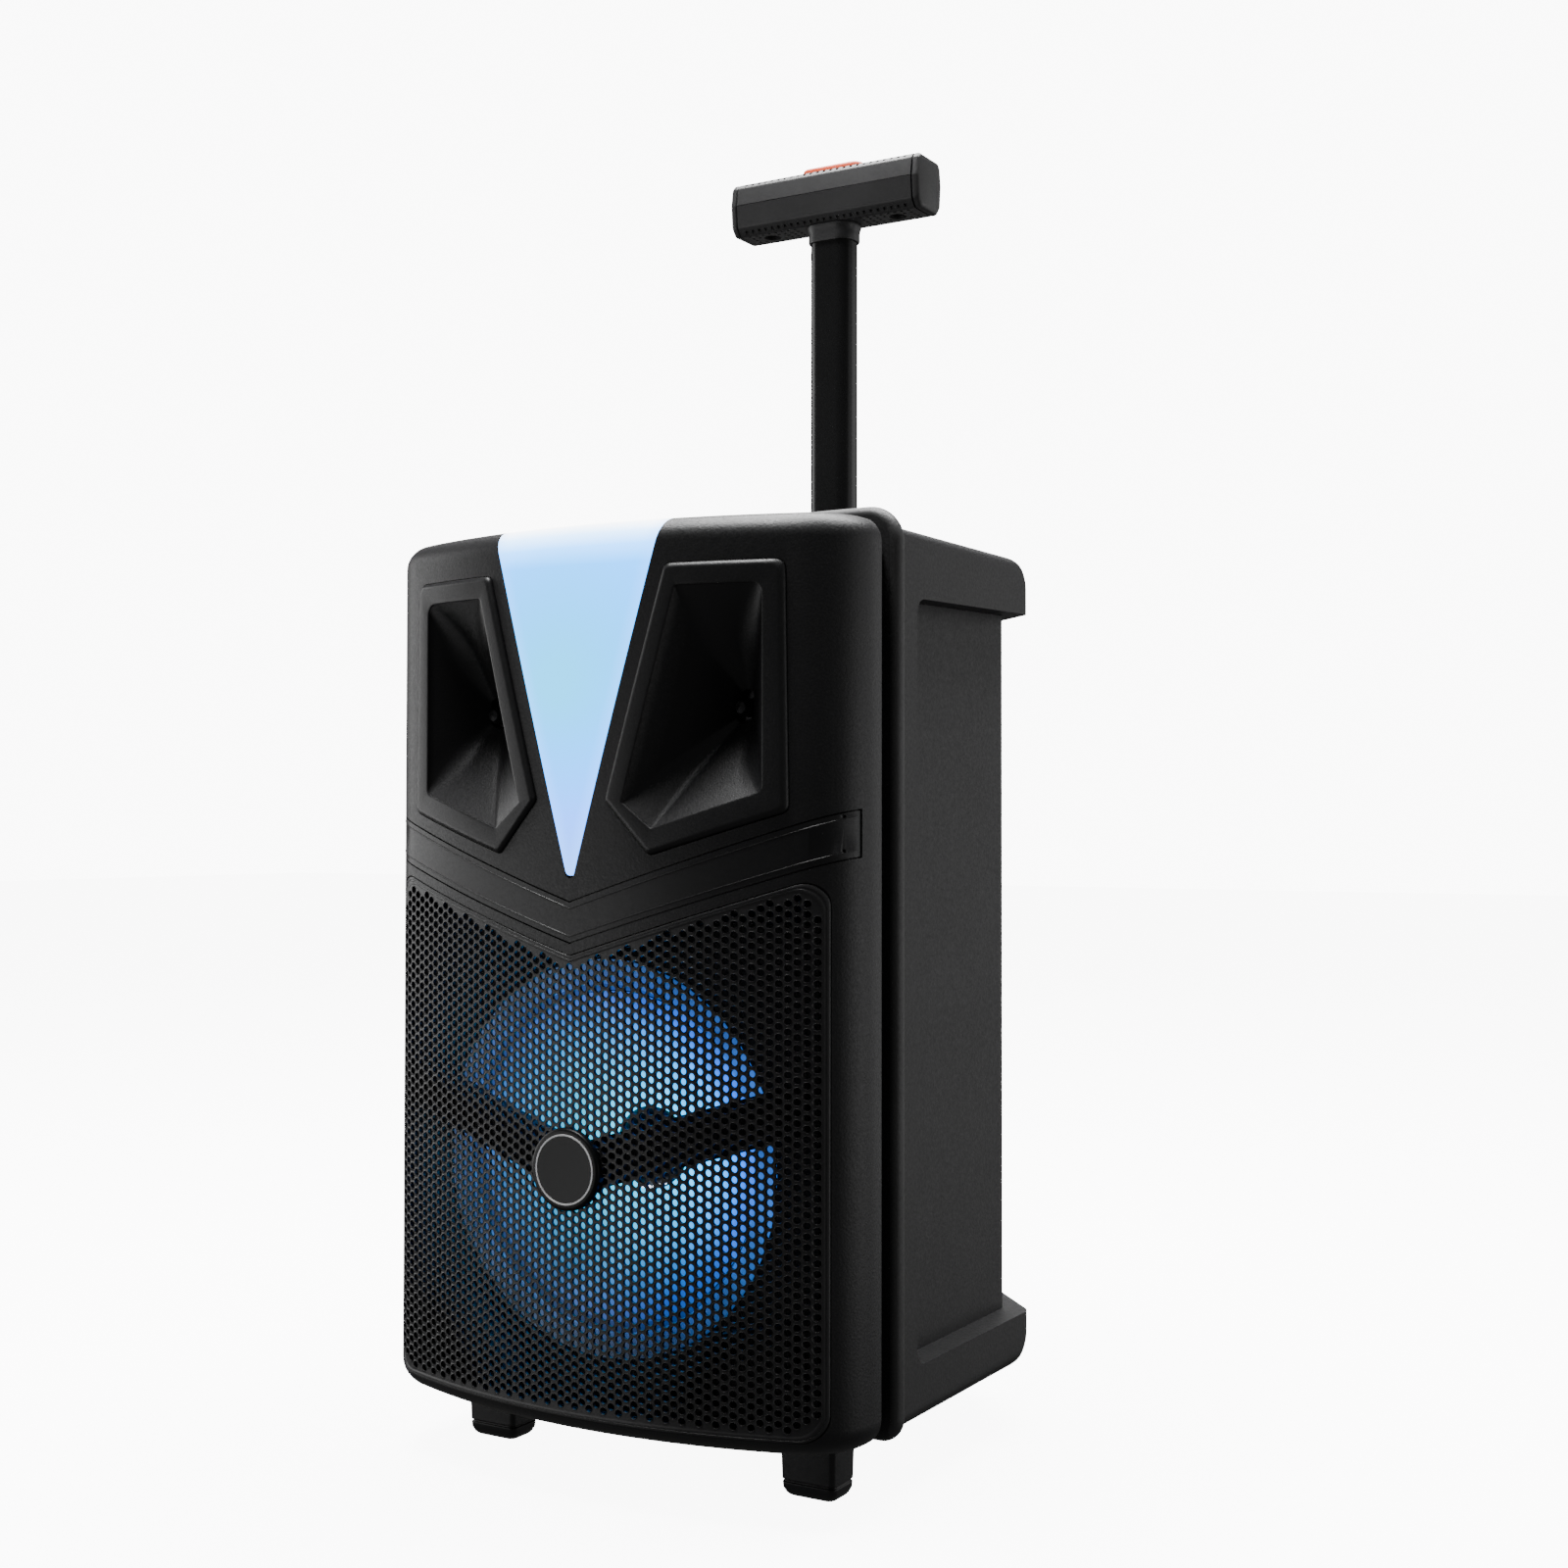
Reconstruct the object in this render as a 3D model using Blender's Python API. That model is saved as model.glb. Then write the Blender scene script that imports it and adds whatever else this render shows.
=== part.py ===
"""Portable trolley party speaker, built as an assembly of separate pieces.

Everything is modelled in the speaker's own frame: x to the right, y backwards from the foremost
point of the bowed front, z up from the floor.  One empty then moves that frame so that the origin
is under the middle of the whole speaker.  Lengths are metres.
"""
import math

import bmesh
import bpy
from mathutils import Vector

MM = 0.001
GAP = 0.3 * MM

# ---------------------------------------------------------------- driving dimensions
# front shell: bowed front, rounded shoulders, rounded top edge
SHELL_HALF_WIDTH = 124 * MM
SHELL_BOTTOM = 29 * MM
SHELL_TOP = 420.5 * MM
SHELL_REAR = 52 * MM
SHELL_WALL = 3.2 * MM
BOW_RADIUS = 302 * MM
SHOULDER_RADIUS = 33 * MM
TOP_ROUND = 11 * MM
BOTTOM_ROUND = 12 * MM

# rear cabinet: six-sided plan, bead at the front, bumpers at top and bottom
BEAD_FRONT = 63.5 * MM
BEAD_REAR = 72.7 * MM
BEAD_HALF_WIDTH = 126 * MM
BEAD_BOTTOM = 27 * MM
BEAD_TOP = 427.5 * MM
CABINET_HALF_WIDTH = 123 * MM
CABINET_BOTTOM = 31 * MM
CABINET_TOP = 419 * MM
CABINET_REAR = 250 * MM
CABINET_SHOULDER_Y = 207 * MM
CABINET_BACK_HALF = 82 * MM
CABINET_WALL = 3 * MM
RECESS_DEPTH = 13 * MM
BACK_RECESS = 2.5 * MM
RECESS_FRONT = 87.4 * MM
RECESS_BOTTOM = 54.7 * MM
RECESS_TOP = 389 * MM
RECESS_RISE = 0.03
SPIGOT_INSET = 5.5 * MM
SPIGOT_FRONT = 49 * MM

# decoration and sound openings on the front
LENS_TIP_Z = 261.5 * MM
LENS_SPREAD = 0.281
LENS_REAR = 44 * MM
TRIM_SLOPE = 0.325
TRIM_UPPER_Z = 256.3 * MM
TRIM_LOWER_Z = 239.3 * MM
TRIM_LOWER_SLOPE = 0.308
TRIM_END_X = 121.5 * MM
TRIM_DEPTH = 1.5 * MM
GRILLE_HALF_WIDTH = 114.3 * MM
GRILLE_BOTTOM = 36.5 * MM
GRILLE_APEX_Z = 233.5 * MM
GRILLE_SLOPE = 0.31
GRILLE_THICKNESS = 1.8 * MM
GRILLE_POCKET = 2.2 * MM
GRILLE_LEDGE = 4 * MM
HORN_CORNERS = [(97.9, 400.2), (46.5, 400.1), (18.2, 300.3), (39.6, 276.9), (99.4, 295.4)]
MOUTH_CORNERS = [(89.1, 390.3), (52.1, 390.2), (27.5, 299.5), (41.4, 288.4), (89.2, 303.9)]
HORN_PROUD = 2.2 * MM
HORN_FLANGE_BACK = 4.5 * MM
THROAT = Vector((67, 35, 340)) * MM
THROAT_RADIUS = 8 * MM
BADGE_RADIUS = 17.75 * MM
BADGE_PROUD = 3.3 * MM
BADGE_Z = 142.4 * MM

# woofer
WOOFER_Z = 143 * MM
BAFFLE_FRONT = 27 * MM
BAFFLE_REAR = 31 * MM
BAFFLE_OPENING = 88 * MM
CONE_OUTER = 73 * MM
CONE_FRONT = 35 * MM
CONE_NECK = 18 * MM
CONE_NECK_Y = 66 * MM
COIL_RADIUS = 16 * MM
MAGNET_FRONT = 96 * MM
MAGNET_REAR = 117 * MM
MAGNET_RADIUS = 46 * MM

# telescopic pole and its grip, shown partly pulled out
POLE_Y = 233 * MM
POLE_SIZE = (24.5 * MM, 17 * MM)
POLE_WALL = 1.5 * MM
POLE_BOTTOM = 236 * MM
POLE_TOP = 616 * MM
TUBE_HOLE = (16.3 * MM, 10.6 * MM)
TUBE_WALL = 1.7 * MM
TUBE_BOTTOM = 66.3 * MM
TUBE_TOP = 415.6 * MM
PIN_ABOVE_BOTTOM = 12 * MM
SLIDE_DOWN = 168 * MM
SLIDE_UP = 130 * MM
COLLAR_BOTTOM = 599 * MM
GRIP_BOTTOM = 608 * MM
GRIP_SPLIT = 624 * MM
GRIP_TOP = 636 * MM
GRIP_HALF_LENGTH = 52.4 * MM
GRIP_HALF_DEPTH = 14 * MM
GRIP_WALL = 3 * MM
GRIP_SCREW_X = 38 * MM
RELEASE_HALF = (18 * MM, 6 * MM)
RELEASE_ROUND = 5.6 * MM
RELEASE_PROUD = 4.2 * MM
END_CAP_LENGTH = 4.1 * MM

# wheels, axle and feet
WHEEL_RADIUS = 28 * MM
WHEEL_Y = 221 * MM
WHEEL_INNER_X = 50 * MM
WHEEL_OUTER_X = 69 * MM
HUB_RADIUS = 20 * MM
AXLE_RADIUS = 4 * MM
ARCH_X = (46 * MM, 73 * MM)
ARCH_FRONT = 189 * MM
ARCH_TOP = 60 * MM
BLOCK_TOP = 66 * MM
FOOT_X = (72 * MM, 100 * MM)
FOOT_Y = (55 * MM, 75 * MM)

# control panel on the cabinet's top, power plate on its back
PANEL_HALF_WIDTH = 92 * MM
PANEL_Y = (80 * MM, 198 * MM)
PANEL_THICKNESS = 2.5 * MM
PANEL_BOTTOM = CABINET_TOP + GAP
PANEL_TOP = PANEL_BOTTOM + PANEL_THICKNESS
BOARD_Z = 396 * MM
KNOBS = {"treble_knob": (-52, 168, 9), "volume_knob": (0, 168, 13), "bass_knob": (52, 168, 9)}
BUTTONS = {"mode_button": -45, "previous_button": -15, "play_button": 15, "next_button": 45}
BUTTON_Y = 130 * MM
BUTTON_HALF = (9 * MM, 5 * MM)
DISPLAY_HALF = 30 * MM
DISPLAY_Y = (90 * MM, 114 * MM)
SOCKETS = {"microphone_socket": (-72, 98, 8.5), "aux_socket": (-72, 120, 5)}
USB_CENTRE = (72 * MM, 104 * MM)
USB_HALF = (4 * MM, 8 * MM)
PLATE_X = (-68 * MM, -28 * MM)
PLATE_Z = (280 * MM, 350 * MM)
PLATE_Y = (244.6 * MM, 247 * MM)
ROCKER_Z = 330 * MM
DC_SOCKET_Z = 299 * MM
PLATE_MIDDLE = sum(PLATE_X) / 2
ROCKER_HOLE = (10.3 * MM, 7 * MM)
DC_HOLE_RADIUS = 5.8 * MM

# reach of the tools that cut right through the cabinet, its lid, its back and the grip
PAST_SIDES = 150 * MM
PAST_BACK = 50 * MM
LID_CUT = (CABINET_TOP - 19 * MM, CABINET_TOP + 11 * MM)
BACK_CUT = (CABINET_REAR - 15 * MM, CABINET_REAR + 10 * MM)
AXLE_NOTCH = ((-42 * MM, 42 * MM), (200 * MM, 244 * MM))

ROUND = 28
WOOFER_ROUND = 24
FRAME_SHIFT = (BADGE_PROUD - CABINET_REAR) / 2


# ---------------------------------------------------------------- scene, materials and objects
def clear_scene():
    for item in list(bpy.data.objects):
        bpy.data.objects.remove(item, do_unlink=True)


def empty(name, place, parent=None):
    item = bpy.data.objects.new(name, None)
    bpy.context.scene.collection.objects.link(item)
    item.parent = parent
    item.location = place
    return item


def material(name, colour, roughness, metallic=0.0):
    item = bpy.data.materials.new(name)
    item.use_nodes = True
    shader = item.node_tree.nodes["Principled BSDF"]
    shader.inputs["Base Color"].default_value = (*colour, 1)
    shader.inputs["Roughness"].default_value = roughness
    shader.inputs["Metallic"].default_value = metallic
    return item


def finish_mesh(bm):
    """Faces all point out of the closed body."""
    bmesh.ops.remove_doubles(bm, verts=bm.verts, dist=1e-7)
    bmesh.ops.recalc_face_normals(bm, faces=bm.faces)
    return bm


def add(name, bm, look):
    """An object from a mesh drawn in the speaker's frame."""
    mesh = bpy.data.meshes.new(name)
    bm.to_mesh(mesh)
    bm.free()
    item = bpy.data.objects.new(name, mesh)
    bpy.context.scene.collection.objects.link(item)
    item.parent = SPEAKER
    if look:
        mesh.materials.append(look)
    return item


def smooth(item, angle=30):
    item.data.shade_smooth()
    item.data.set_sharp_from_angle(angle=math.radians(angle))
    return item


def combine(item, tools, operation="DIFFERENCE"):
    """Cut or join tool meshes, drawn in the speaker's frame, with an object."""
    for tool in tools:
        helper = add("tool", tool, None)
        change = item.modifiers.new("combine", "BOOLEAN")
        change.object = helper
        change.operation = operation
        change.solver = "EXACT"
        bpy.context.view_layer.update()
        graph = bpy.context.evaluated_depsgraph_get()
        mesh = bpy.data.meshes.new_from_object(item.evaluated_get(graph))
        item.modifiers.clear()
        old = item.data
        item.data = mesh
        mesh.name = item.name
        bpy.data.meshes.remove(old)
        bpy.data.objects.remove(helper, do_unlink=True)
    return item


def bevel(item, width, segments=2, angle=40):
    change = item.modifiers.new("edges", "BEVEL")
    change.width = width
    change.segments = segments
    change.limit_method = "ANGLE"
    change.angle_limit = math.radians(angle)
    return item


# ---------------------------------------------------------------- outlines
def arc(centre, radius, start, end, steps):
    """Points of a circular arc in degrees, both ends included."""
    points = []
    for step in range(steps + 1):
        turn = math.radians(start + (end - start) * step / steps)
        points.append((centre[0] + radius * math.cos(turn), centre[1] + radius * math.sin(turn)))
    return points


def rounded_polygon(corners, radius, arc_steps=3, edge_steps=1):
    """A polygon with round corners; radius is one value or one for each corner."""
    count = len(corners)
    radii = radius if isinstance(radius, (list, tuple)) else [radius] * count
    points = []
    for index in range(count):
        here = Vector(corners[index])
        to_last = (Vector(corners[index - 1]) - here).normalized()
        to_next = (Vector(corners[(index + 1) % count]) - here).normalized()
        half = to_last.angle(to_next) / 2
        reach = radii[index] / math.tan(half)
        centre = here + (to_last + to_next).normalized() * (radii[index] / math.sin(half))
        first = here + to_last * reach - centre
        last = here + to_next * reach - centre
        sweep = first.angle_signed(last) if radii[index] > 0 else 0
        for step in range(arc_steps + 1):
            turn = -sweep * step / arc_steps
            cosine, sine = math.cos(turn), math.sin(turn)
            points.append((centre.x + first.x * cosine - first.y * sine,
                           centre.y + first.x * sine + first.y * cosine))
    if edge_steps == 1:
        return points
    filled = []
    size = arc_steps + 1
    for index, point in enumerate(points):
        filled.append(point)
        if index % size == size - 1:
            after = points[(index + 1) % len(points)]
            for step in range(1, edge_steps):
                part = step / edge_steps
                filled.append((point[0] + (after[0] - point[0]) * part,
                               point[1] + (after[1] - point[1]) * part))
    return filled


def rounded_box_outline(half_x, half_y, radius, steps=3, centre=(0, 0)):
    corners = [(half_x, half_y), (-half_x, half_y), (-half_x, -half_y), (half_x, -half_y)]
    corners = [(x + centre[0], y + centre[1]) for x, y in corners]
    return rounded_polygon(corners, radius, steps)


def offset_polygon(corners, distance):
    """Corners moved so that each edge of an anticlockwise polygon moves out by the distance."""
    moved = []
    count = len(corners)
    for index in range(count):
        here = Vector(corners[index])
        last_edge = (here - Vector(corners[index - 1])).normalized()
        next_edge = (Vector(corners[(index + 1) % count]) - here).normalized()
        normal_a = Vector((last_edge.y, -last_edge.x))
        normal_b = Vector((next_edge.y, -next_edge.x))
        shift = (normal_a + normal_b) / (1 + normal_a.dot(normal_b))
        moved.append(tuple(here + shift * distance))
    return moved


# ---------------------------------------------------------------- solids
def loft(rings, closed=False):
    """Skin through rings of equal length; ends are capped, or joined to each other if closed."""
    bm = bmesh.new()
    rows = [[bm.verts.new(point) for point in ring] for ring in rings]
    count = len(rows[0])
    pairs = list(zip(rows, rows[1:]))
    if closed:
        pairs.append((rows[-1], rows[0]))
    for lower, upper in pairs:
        for index in range(count):
            after = (index + 1) % count
            bm.faces.new((lower[index], lower[after], upper[after], upper[index]))
    if not closed:
        bm.faces.new(rows[0])
        bm.faces.new(list(reversed(rows[-1])))
    return finish_mesh(bm)


def prism_z(outline, bottom, top):
    return loft([[(x, y, z) for x, y in outline] for z in (bottom, top)])


def prism_y(outline, front, rear):
    return loft([[(x, y, z) for x, z in outline] for y in (front, rear)])


def prism_x(outline, left, right):
    return loft([[(x, y, z) for y, z in outline] for x in (left, right)])


def box(x, y, z):
    return prism_z([(x[0], y[0]), (x[1], y[0]), (x[1], y[1]), (x[0], y[1])], z[0], z[1])


def turned(profile, centre, axis, steps=ROUND, ring=False):
    """A profile of (radius, height) points turned about an axis through the centre.

    A ring's profile is a closed loop; another profile starts and ends on the axis.
    """
    frames = {"X": ((0, 1, 0), (0, 0, 1), (1, 0, 0)),
              "Y": ((0, 0, 1), (1, 0, 0), (0, 1, 0)),
              "Z": ((1, 0, 0), (0, 1, 0), (0, 0, 1))}
    across, up, along = [Vector(part) for part in frames[axis]]
    centre = Vector(centre)
    bm = bmesh.new()
    rows = []
    for radius, height in profile:
        base = centre + along * height
        if radius < 1e-6:
            rows.append([bm.verts.new(base)])
            continue
        row = []
        for step in range(steps):
            turn = math.tau * step / steps
            row.append(bm.verts.new(base + radius * (across * math.cos(turn) + up * math.sin(turn))))
        rows.append(row)
    pairs = list(zip(rows, rows[1:]))
    if ring:
        pairs.append((rows[-1], rows[0]))
    for lower, upper in pairs:
        for index in range(steps):
            after = (index + 1) % steps
            if len(lower) == 1:
                bm.faces.new((lower[0], upper[after], upper[index]))
            elif len(upper) == 1:
                bm.faces.new((lower[index], lower[after], upper[0]))
            else:
                bm.faces.new((lower[index], lower[after], upper[after], upper[index]))
    return finish_mesh(bm)


def cylinder(radius, start, end, centre, axis, steps=ROUND):
    return turned([(0, start), (radius, start), (radius, end), (0, end)], centre, axis, steps)


def coil(radius, wire, bottom, top, turns, centre, sides=4, steps=10):
    """A compression spring of round wire about a vertical axis."""
    rings = []
    total = turns * steps
    rise = top - bottom - 2 * wire
    for step in range(total + 1):
        turn = math.tau * step / steps
        height = bottom + wire + rise * step / total
        outward = Vector((math.cos(turn), math.sin(turn), 0))
        middle = Vector((centre[0], centre[1], height)) + outward * radius
        ring = []
        for side in range(sides):
            angle = math.tau * side / sides
            ring.append(middle + outward * wire * math.cos(angle)
                        + Vector((0, 0, wire * math.sin(angle))))
        rings.append(ring)
    return loft(rings)


# ---------------------------------------------------------------- the bowed front
SHOULDER_X = SHELL_HALF_WIDTH - SHOULDER_RADIUS
SHOULDER_Y = BOW_RADIUS - math.sqrt((BOW_RADIUS - SHOULDER_RADIUS) ** 2 - SHOULDER_X ** 2)
SHOULDER_TURN = math.degrees(math.asin(SHOULDER_X / (BOW_RADIUS - SHOULDER_RADIUS)))


def front_y(x, inset=0.0):
    """Depth of the front surface at x, on the surface that lies inset below the skin."""
    x = abs(x)
    bow = BOW_RADIUS - inset
    if x <= bow * math.sin(math.radians(SHOULDER_TURN)):
        return BOW_RADIUS - math.sqrt(bow * bow - x * x)
    reach = SHOULDER_RADIUS - inset
    across = min(x - SHOULDER_X, reach)
    return SHOULDER_Y - math.sqrt(reach * reach - across * across)


def shell_plan(inset, rear, front_steps=16, shoulder_steps=5):
    """Plan of the front shell, anticlockwise from above, from its right rear corner."""
    reach = SHOULDER_RADIUS - inset
    end = math.degrees(math.asin(min(0, max(-1, (SHELL_REAR - SHOULDER_Y) / reach))))
    right = arc((SHOULDER_X, SHOULDER_Y), reach, end, SHOULDER_TURN - 90, shoulder_steps)
    front = arc((0, BOW_RADIUS), BOW_RADIUS - inset, SHOULDER_TURN - 90, -SHOULDER_TURN - 90,
                front_steps)
    left = [(-x, y) for x, y in reversed(right)]
    points = right + front[1:-1] + left
    points[0] = (points[0][0], rear)
    points[-1] = (points[-1][0], rear)
    return points


def shell_solid(inset, rear):
    """The front shell's outer form, or with an inset the space inside its walls."""
    low = BOTTOM_ROUND - inset
    high = TOP_ROUND - inset
    rings = []
    for turn in (0, 30, 60, 90):
        sine, cosine = math.sin(math.radians(turn)), math.cos(math.radians(turn))
        rings.append((SHELL_BOTTOM + inset + low * (1 - cosine), inset + low * (1 - sine)))
    for turn in (90, 67.5, 45, 22.5, 0):
        sine, cosine = math.sin(math.radians(turn)), math.cos(math.radians(turn))
        rings.append((SHELL_TOP - inset - high * (1 - cosine), inset + high * (1 - sine)))
    return loft([[(x, y, z) for x, y in shell_plan(depth, rear)] for z, depth in rings])


def front_stations(end):
    """Even steps over the bow, closer ones round the shoulders, from one end to the other."""
    half = [SHOULDER_X * step / 7 for step in range(8)]
    half += [SHOULDER_X + (end - SHOULDER_X) * step / 6 for step in range(1, 7)]
    return [-x for x in reversed(half[1:])] + half


def bowed_slab(outline, front, rear):
    """A slab between two surfaces that follow the bowed front, cut to an outline in x and z."""
    bm = prism_y(outline, -1, 1)
    for place in front_stations(max(point[0] for point in outline))[1:-1]:
        everything = bm.verts[:] + bm.edges[:] + bm.faces[:]
        bmesh.ops.bisect_plane(bm, geom=everything, plane_co=(place, 0, 0), plane_no=(1, 0, 0))
    for point in bm.verts:
        point.co.y = front_y(point.co.x, rear if point.co.y > 0 else front)
    return finish_mesh(bm)


def bowed_strip(bottom_at, top_at, stations, front, rear):
    """A strip along x that follows the front and its shoulders."""
    rings = []
    for x in stations:
        near = front_y(x) + front if front < 0 else front_y(x, front)
        far = front_y(x, rear)
        rings.append([(x, near, bottom_at(x)), (x, near, top_at(x)),
                      (x, far, top_at(x)), (x, far, bottom_at(x))])
    return loft(rings)


def mirrored(outline, side):
    return [(x * side, z) for x, z in outline]


# ---------------------------------------------------------------- front of the speaker
def lens_outline(grow):
    top = SHELL_TOP + 20 * MM
    half = LENS_SPREAD * (top - LENS_TIP_Z)
    corners = offset_polygon([(0, LENS_TIP_Z), (half, top), (-half, top)], grow)
    return rounded_polygon(corners, [2.4 * MM, 0, 0], 5)


def grille_outline(inset):
    half = GRILLE_HALF_WIDTH - inset
    shoulder = GRILLE_APEX_Z + GRILLE_SLOPE * half - inset * math.hypot(1, GRILLE_SLOPE)
    apex = GRILLE_APEX_Z - inset * math.hypot(1, GRILLE_SLOPE)
    corners = [(half, GRILLE_BOTTOM + inset), (half, shoulder), (0, apex),
               (-half, shoulder), (-half, GRILLE_BOTTOM + inset)]
    corner = 11 * MM - inset / 2
    return rounded_polygon(corners, [corner, 9 * MM, 0.5 * MM, 9 * MM, corner], 4)


def horn_outline(corners, grow, radius):
    corners = [(x * MM, z * MM) for x, z in corners]
    return rounded_polygon(offset_polygon(corners, grow), radius, 2, 3)


def trim_edge(base, slope, shift):
    return lambda x: base + shift + slope * abs(x)


def make_front_shell():
    shell = add("front_shell", shell_solid(0, SHELL_REAR), BLACK_SHELL)
    cutters = [shell_solid(SHELL_WALL, SHELL_REAR + 8 * MM)]
    cutters.append(prism_y(lens_outline(GAP), -10 * MM, LENS_REAR))
    cutters.append(bowed_slab(grille_outline(-GAP), -4 * MM, GRILLE_POCKET))
    cutters.append(prism_y(grille_outline(GRILLE_LEDGE), -10 * MM, 36 * MM))
    for side in (1, -1):
        opening = horn_outline(HORN_CORNERS, GAP, 5 * MM)
        cutters.append(prism_y(mirrored(opening, side), -10 * MM, 36 * MM))
    groove = 0.7 * MM
    cutters.append(bowed_strip(trim_edge(TRIM_LOWER_Z, TRIM_LOWER_SLOPE, -groove),
                               trim_edge(TRIM_UPPER_Z, TRIM_SLOPE, groove),
                               front_stations(TRIM_END_X + groove), -6 * MM, TRIM_DEPTH))
    return smooth(combine(shell, cutters))


def make_chevron_trim():
    strip = bowed_strip(trim_edge(TRIM_LOWER_Z, TRIM_LOWER_SLOPE, 0),
                        trim_edge(TRIM_UPPER_Z, TRIM_SLOPE, 0),
                        front_stations(TRIM_END_X), 0, TRIM_DEPTH - GAP)
    return smooth(add("chevron_trim", strip, BLACK_SHELL_SMOOTH))


def make_light_lens():
    """The lit wedge is the part of the shell's skin that lies inside its outline."""
    lens = add("light_lens", shell_solid(0, SHELL_REAR), MILKY)
    combine(lens, [shell_solid(SHELL_WALL, SHELL_REAR + 8 * MM)])
    combine(lens, [prism_y(lens_outline(0), -10 * MM, LENS_REAR - GAP)], "INTERSECT")
    return smooth(lens)


def make_light_board():
    outline = [(-4 * MM, 292 * MM), (4 * MM, 292 * MM), (27 * MM, 392 * MM), (-27 * MM, 392 * MM)]
    return add("light_board", prism_y(outline, 9 * MM, 10.6 * MM), CIRCUIT)


def make_grille():
    plate = bowed_slab(grille_outline(0), 0, GRILLE_THICKNESS)
    return smooth(add("woofer_grille", plate, BLACK_GRILLE))


def make_badge():
    profile = [(0, -BADGE_PROUD), (BADGE_RADIUS - 1.2 * MM, -BADGE_PROUD),
               (BADGE_RADIUS, -BADGE_PROUD + 1.2 * MM), (BADGE_RADIUS, -GAP), (0, -GAP)]
    return smooth(add("badge", turned(profile, (0, 0, BADGE_Z), "Y"), GLOSS))


def make_horn(name, side):
    """Flange, pyramid-shaped mouth and throat as one moulding; its skin is one closed loop."""
    def on_front(corners, grow, radius, inset):
        outline = horn_outline(corners, grow, radius)
        return [(x * side, front_y(x) + inset, z) for x, z in outline]

    def between(grow, share):
        """A ring part of the way from the mouth to the throat."""
        outline = horn_outline(MOUTH_CORNERS, 0, 4 * MM)
        middle = (sum(x for x, z in outline) / len(outline), sum(z for x, z in outline) / len(outline))
        ring = []
        for x, z in outline:
            turn = math.atan2(z - middle[1], x - middle[0])
            radius = THROAT_RADIUS + grow
            throat = (THROAT.x + radius * math.cos(turn), THROAT.z + radius * math.sin(turn))
            spread = Vector((x - middle[0], z - middle[1])).normalized() * grow
            depth = front_y(x) * (1 - share) + (THROAT.y + grow * 0.2) * share
            ring.append((((x + spread.x) * (1 - share) + throat[0] * share) * side, depth,
                         (z + spread.y) * (1 - share) + throat[1] * share))
        return ring

    wall = 2.2 * MM
    rings = [on_front(HORN_CORNERS, 0, 5 * MM, HORN_FLANGE_BACK),
             on_front(HORN_CORNERS, 0, 5 * MM, 0),
             on_front(HORN_CORNERS, -2.2 * MM, 3.5 * MM, -HORN_PROUD),
             on_front(HORN_CORNERS, -4.4 * MM, 3 * MM, -HORN_PROUD + 0.4 * MM),
             on_front(MOUTH_CORNERS, 1 * MM, 4.5 * MM, -HORN_PROUD + 0.4 * MM),
             between(0, 0.02), between(0, 0.5), between(0, 1)]
    rings += [[(x, y + 3 * MM, z) for x, y, z in between(0, 1)],
              [(x, y + 3 * MM, z) for x, y, z in between(wall, 1)],
              between(wall, 0.92), between(wall, 0.5),
              [(x, y + HORN_FLANGE_BACK, z) for x, y, z in between(wall, 0.02)]]
    horn = add(name, loft(rings, closed=True), BLACK_HORN)
    return smooth(horn, 25)


def make_tweeter(name, side):
    start = 3.8 * MM
    profile = [(0, -5 * MM), (2.5 * MM, -4 * MM), (4 * MM, -1 * MM), (4 * MM, start),
               (26 * MM, start), (26 * MM, 8 * MM), (20 * MM, 10 * MM), (20 * MM, 24 * MM),
               (0, 24 * MM)]
    centre = (THROAT.x * side, THROAT.y, THROAT.z)
    return smooth(add(name, turned(profile, centre, "Y", 24), DARK_METAL))


# ---------------------------------------------------------------- woofer
def woofer(profile, ring=False, steps=WOOFER_ROUND):
    return turned(profile, (0, 0, WOOFER_Z), "Y", steps, ring)


def make_baffle():
    """Plate with the round sound opening and a chevron-shaped brace right behind the grille."""
    width, low, high = 108 * MM, 37.5 * MM, 248 * MM
    plate = prism_y([(-width, low), (width, low), (width, high), (-width, high)],
                    BAFFLE_FRONT, BAFFLE_REAR)
    baffle = add("woofer_baffle", plate, BLACK_INNER)
    combine(baffle, [cylinder(BAFFLE_OPENING, 0, 60 * MM, (0, 0, WOOFER_Z), "Y", 48)])
    brace_end = 104 * MM
    stations = [brace_end * step / 6 for step in range(-6, 7)]
    brace = bowed_strip(trim_edge(BADGE_Z - 12 * MM, 0.30, 0), trim_edge(BADGE_Z + 10 * MM, 0.30, 0),
                        stations, GRILLE_POCKET + SHELL_WALL, 11 * MM)
    combine(baffle, [brace], "UNION")
    for side in (1, -1):
        x = sorted((93 * MM * side, 102 * MM * side))
        leg = box(x, (front_y(97 * MM) + 8 * MM, BAFFLE_FRONT + 2 * MM), (162 * MM, 178 * MM))
        combine(baffle, [leg], "UNION")
    return smooth(baffle)


def make_led_ring():
    profile = [(76.5 * MM, 29.5 * MM), (80 * MM, 27.5 * MM), (87.4 * MM, 27.5 * MM),
               (87.4 * MM, 30.8 * MM), (76.5 * MM, 30.8 * MM)]
    return smooth(add("led_ring", woofer(profile, ring=True), MILKY))


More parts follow.
